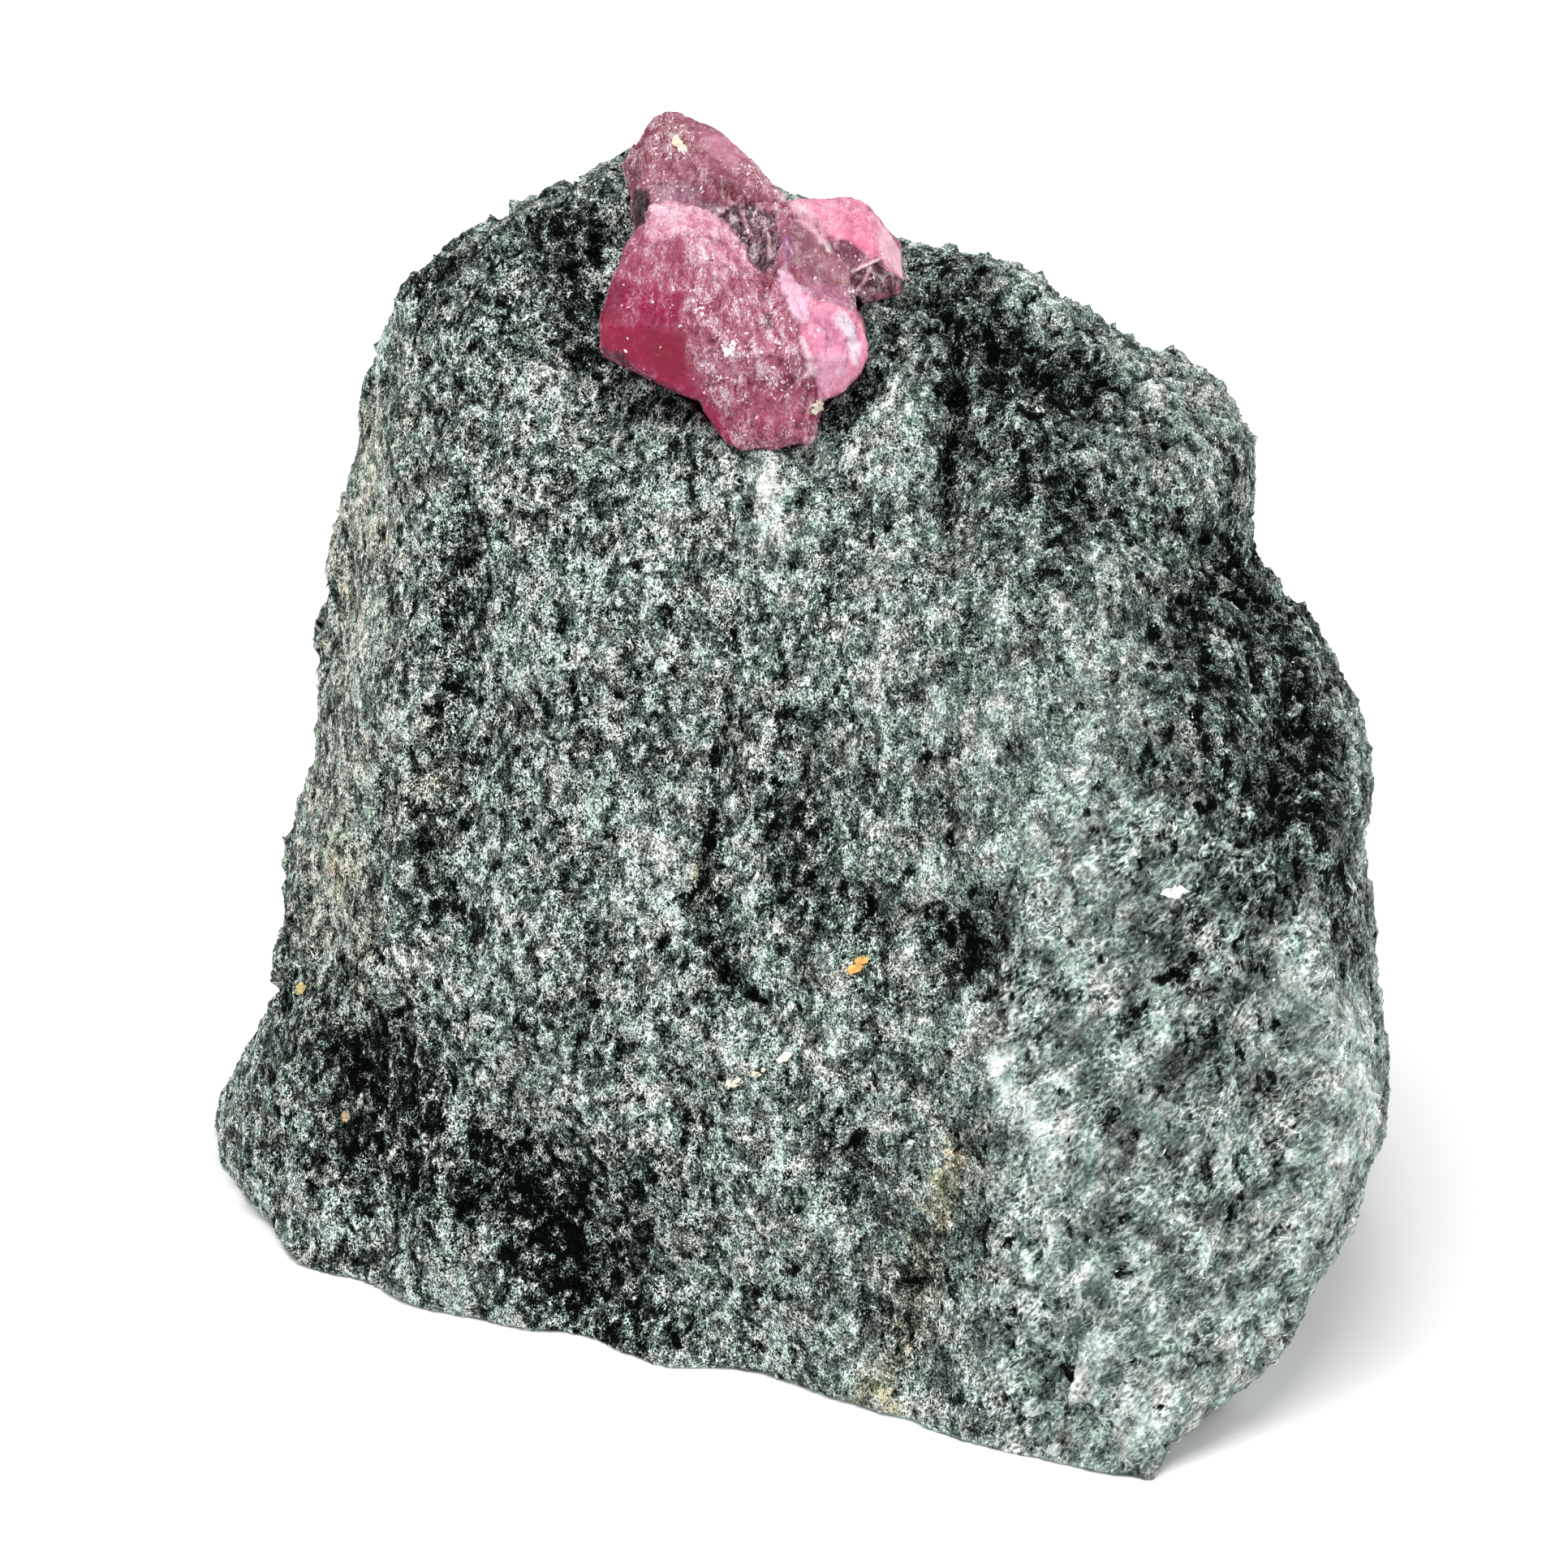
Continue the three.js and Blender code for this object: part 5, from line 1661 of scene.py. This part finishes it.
    def _bit(
        self, fleck: Fleck, trees: Sequence[BVHTree], rng: np.random.Generator
    ) -> tuple[np.ndarray | Point, ...]:
        """Lays one bit of a foreign grain on the surface that is in front.

        Args:
            fleck: The grain.
            trees: The surfaces that it may lie on.
            rng: The source of chance.

        Returns:
            Its place, the directions of its length and of its flat side, its half sizes and its
            tint.
        """
        right, up, out = self.frame.axes()
        along = math.cos(fleck.turn) * right + math.sin(fleck.turn) * up
        across = math.cos(fleck.turn) * up - math.sin(fleck.turn) * right
        a, b = rng.uniform(-self.bit_spread, self.bit_spread, 2)
        tapered = b * (1 - a * a)
        middle = self.frame.from_face((*fleck.place, self.above))
        start = Vector(middle + a * fleck.half[0] * along + tapered * fleck.half[1] * across)
        hits = [hit for hit in (tree.ray_cast(start, Vector(-out)) for tree in trees) if hit[0]]
        spot, outward, _, _ = max(hits, key=lambda hit: hit[0].dot(Vector(out)))
        lifted = unit(np.array(outward) + rng.normal(0, self.bit_tilt, 3))
        turned = along + rng.normal(0, self.bit_tilt, 3)
        flat = unit(turned - turned @ lifted * lifted)
        length = fleck.half[1] * rng.uniform(*self.bit_length)
        sizes = (length, length * rng.uniform(*self.bit_width), length * self.bit_thickness)
        tint = (*(np.array(fleck.colour) * rng.uniform(*self.bit_shade)), 1.0)
        return (spot + outward * self.bit_lift)[:], flat, lifted, sizes, tint


# ------------------------------------------------------------------ studio


@dataclass(frozen=True)
class Lamp:
    """A square soft light: its place and its width in millimetres, and its power in watts."""

    name: str
    place: Point
    width: float
    power: float


@dataclass
class Studio:
    """The pale floor, the soft lights and the camera."""

    frame: FaceFrame
    aim: Point = (0.0, 32.0, 0.0)
    distance: float = 420.0
    lens: float = 180.0
    clip: Range = (0.01, 20)
    floor_width: float = 6000.0
    floor_colour: Colour = (0.93, 0.93, 0.93)
    floor_wear: float = 0.985
    world_light: float = 0.32
    lamp_aim: Point = (0, 0, 30)
    lamps: tuple[Lamp, ...] = (
        Lamp("top_light", (-300, -500, 1800), 1300, 32.0),
        Lamp("left_light", (-1300, -900, 900), 900, 6.5),
        Lamp("right_light", (1100, -1100, 900), 900, 10.0),
        Lamp("back_light", (1200, 900, 800), 900, 10.0),
    )

    def build(self) -> None:
        """Sets the floor, the lights and the camera up."""
        self._floor()
        self._world()
        for lamp in self.lamps:
            self._hang(lamp)
        self._camera()

    def _floor(self) -> None:
        """Lays the floor just under the base."""
        form = bmesh.new()
        bmesh.ops.create_grid(form, x_segments=1, y_segments=1, size=self.floor_width * MM / 2)
        mesh = bpy.data.meshes.new("floor")
        form.to_mesh(mesh)
        form.free()
        floor = new_object("floor", mesh)
        material, shader, surface = new_material("pale_floor")
        share = shader.spread(shader.noise(shader.place(), 3.0, 2, 0.5), *NOISE_RANGE)
        worn = tuple(c * self.floor_wear for c in self.floor_colour)
        shader.feed(surface, {"Base Color": shader.mixed(share, worn, self.floor_colour)})
        shader.feed(surface, {"Roughness": 0.8})
        floor.data.materials.append(material)

    def _world(self) -> None:
        """Fills the room with even white light."""
        world = bpy.data.worlds.new("room")
        world.use_nodes = True
        back = world.node_tree.nodes["Background"]
        back.inputs["Color"].default_value = (1, 1, 1, 1)
        back.inputs["Strength"].default_value = self.world_light
        bpy.context.scene.world = world

    def _hang(self, lamp: Lamp) -> None:
        """Hangs a light so that it faces the specimen."""
        light = bpy.data.lights.new(lamp.name, "AREA")
        light.size = lamp.width * MM
        light.energy = lamp.power
        holder = new_object(lamp.name, light)
        holder.location = Vector(lamp.place) * MM
        towards = Vector(self.lamp_aim) * MM - holder.location
        holder.rotation_euler = towards.to_track_quat("-Z", "Y").to_euler()

    def _camera(self) -> None:
        """Places the camera square to the broad face."""
        camera = bpy.data.cameras.new("camera")
        camera.lens = self.lens
        camera.clip_start, camera.clip_end = self.clip
        holder = new_object("camera", camera)
        back = Vector(self.frame.axes()[2])
        holder.location = Vector(self.frame.from_face(self.aim)) * MM + back * self.distance * MM
        holder.rotation_euler = (-back).to_track_quat("-Z", "Y").to_euler()
        bpy.context.scene.camera = holder
        bpy.context.scene.view_settings.view_transform = "Standard"


# ------------------------------------------------------------------ the scene


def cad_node(name: str) -> bpy.types.Object:
    """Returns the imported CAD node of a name."""
    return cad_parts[name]


def main() -> None:
    """Builds the specimen and the studio round it."""
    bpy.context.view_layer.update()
    frame = FaceFrame.from_ruby()
    Studio(frame).build()
    ruby, crystals = RubyGroup(frame).build()
    block, schist = SchistBlock(frame).build(crystals)
    flakes = MicaGrains(frame).build(schist, crystals)
    grains = BrightGrains(frame).build(schist, crystals)
    for piece in (ruby, block, *flakes, *grains):
        mesh = piece.data
        LOG.info("%s: %d vertices, %d faces", piece.name, len(mesh.vertices), len(mesh.polygons))


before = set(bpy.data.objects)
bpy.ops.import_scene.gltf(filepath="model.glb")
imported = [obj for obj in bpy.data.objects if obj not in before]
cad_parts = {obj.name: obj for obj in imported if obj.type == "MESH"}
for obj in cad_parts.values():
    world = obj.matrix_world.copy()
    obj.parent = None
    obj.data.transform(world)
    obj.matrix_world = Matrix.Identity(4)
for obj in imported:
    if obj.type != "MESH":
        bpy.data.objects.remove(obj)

if __name__ == "__main__":
    logging.basicConfig(level=logging.INFO, format="%(message)s")
    main()
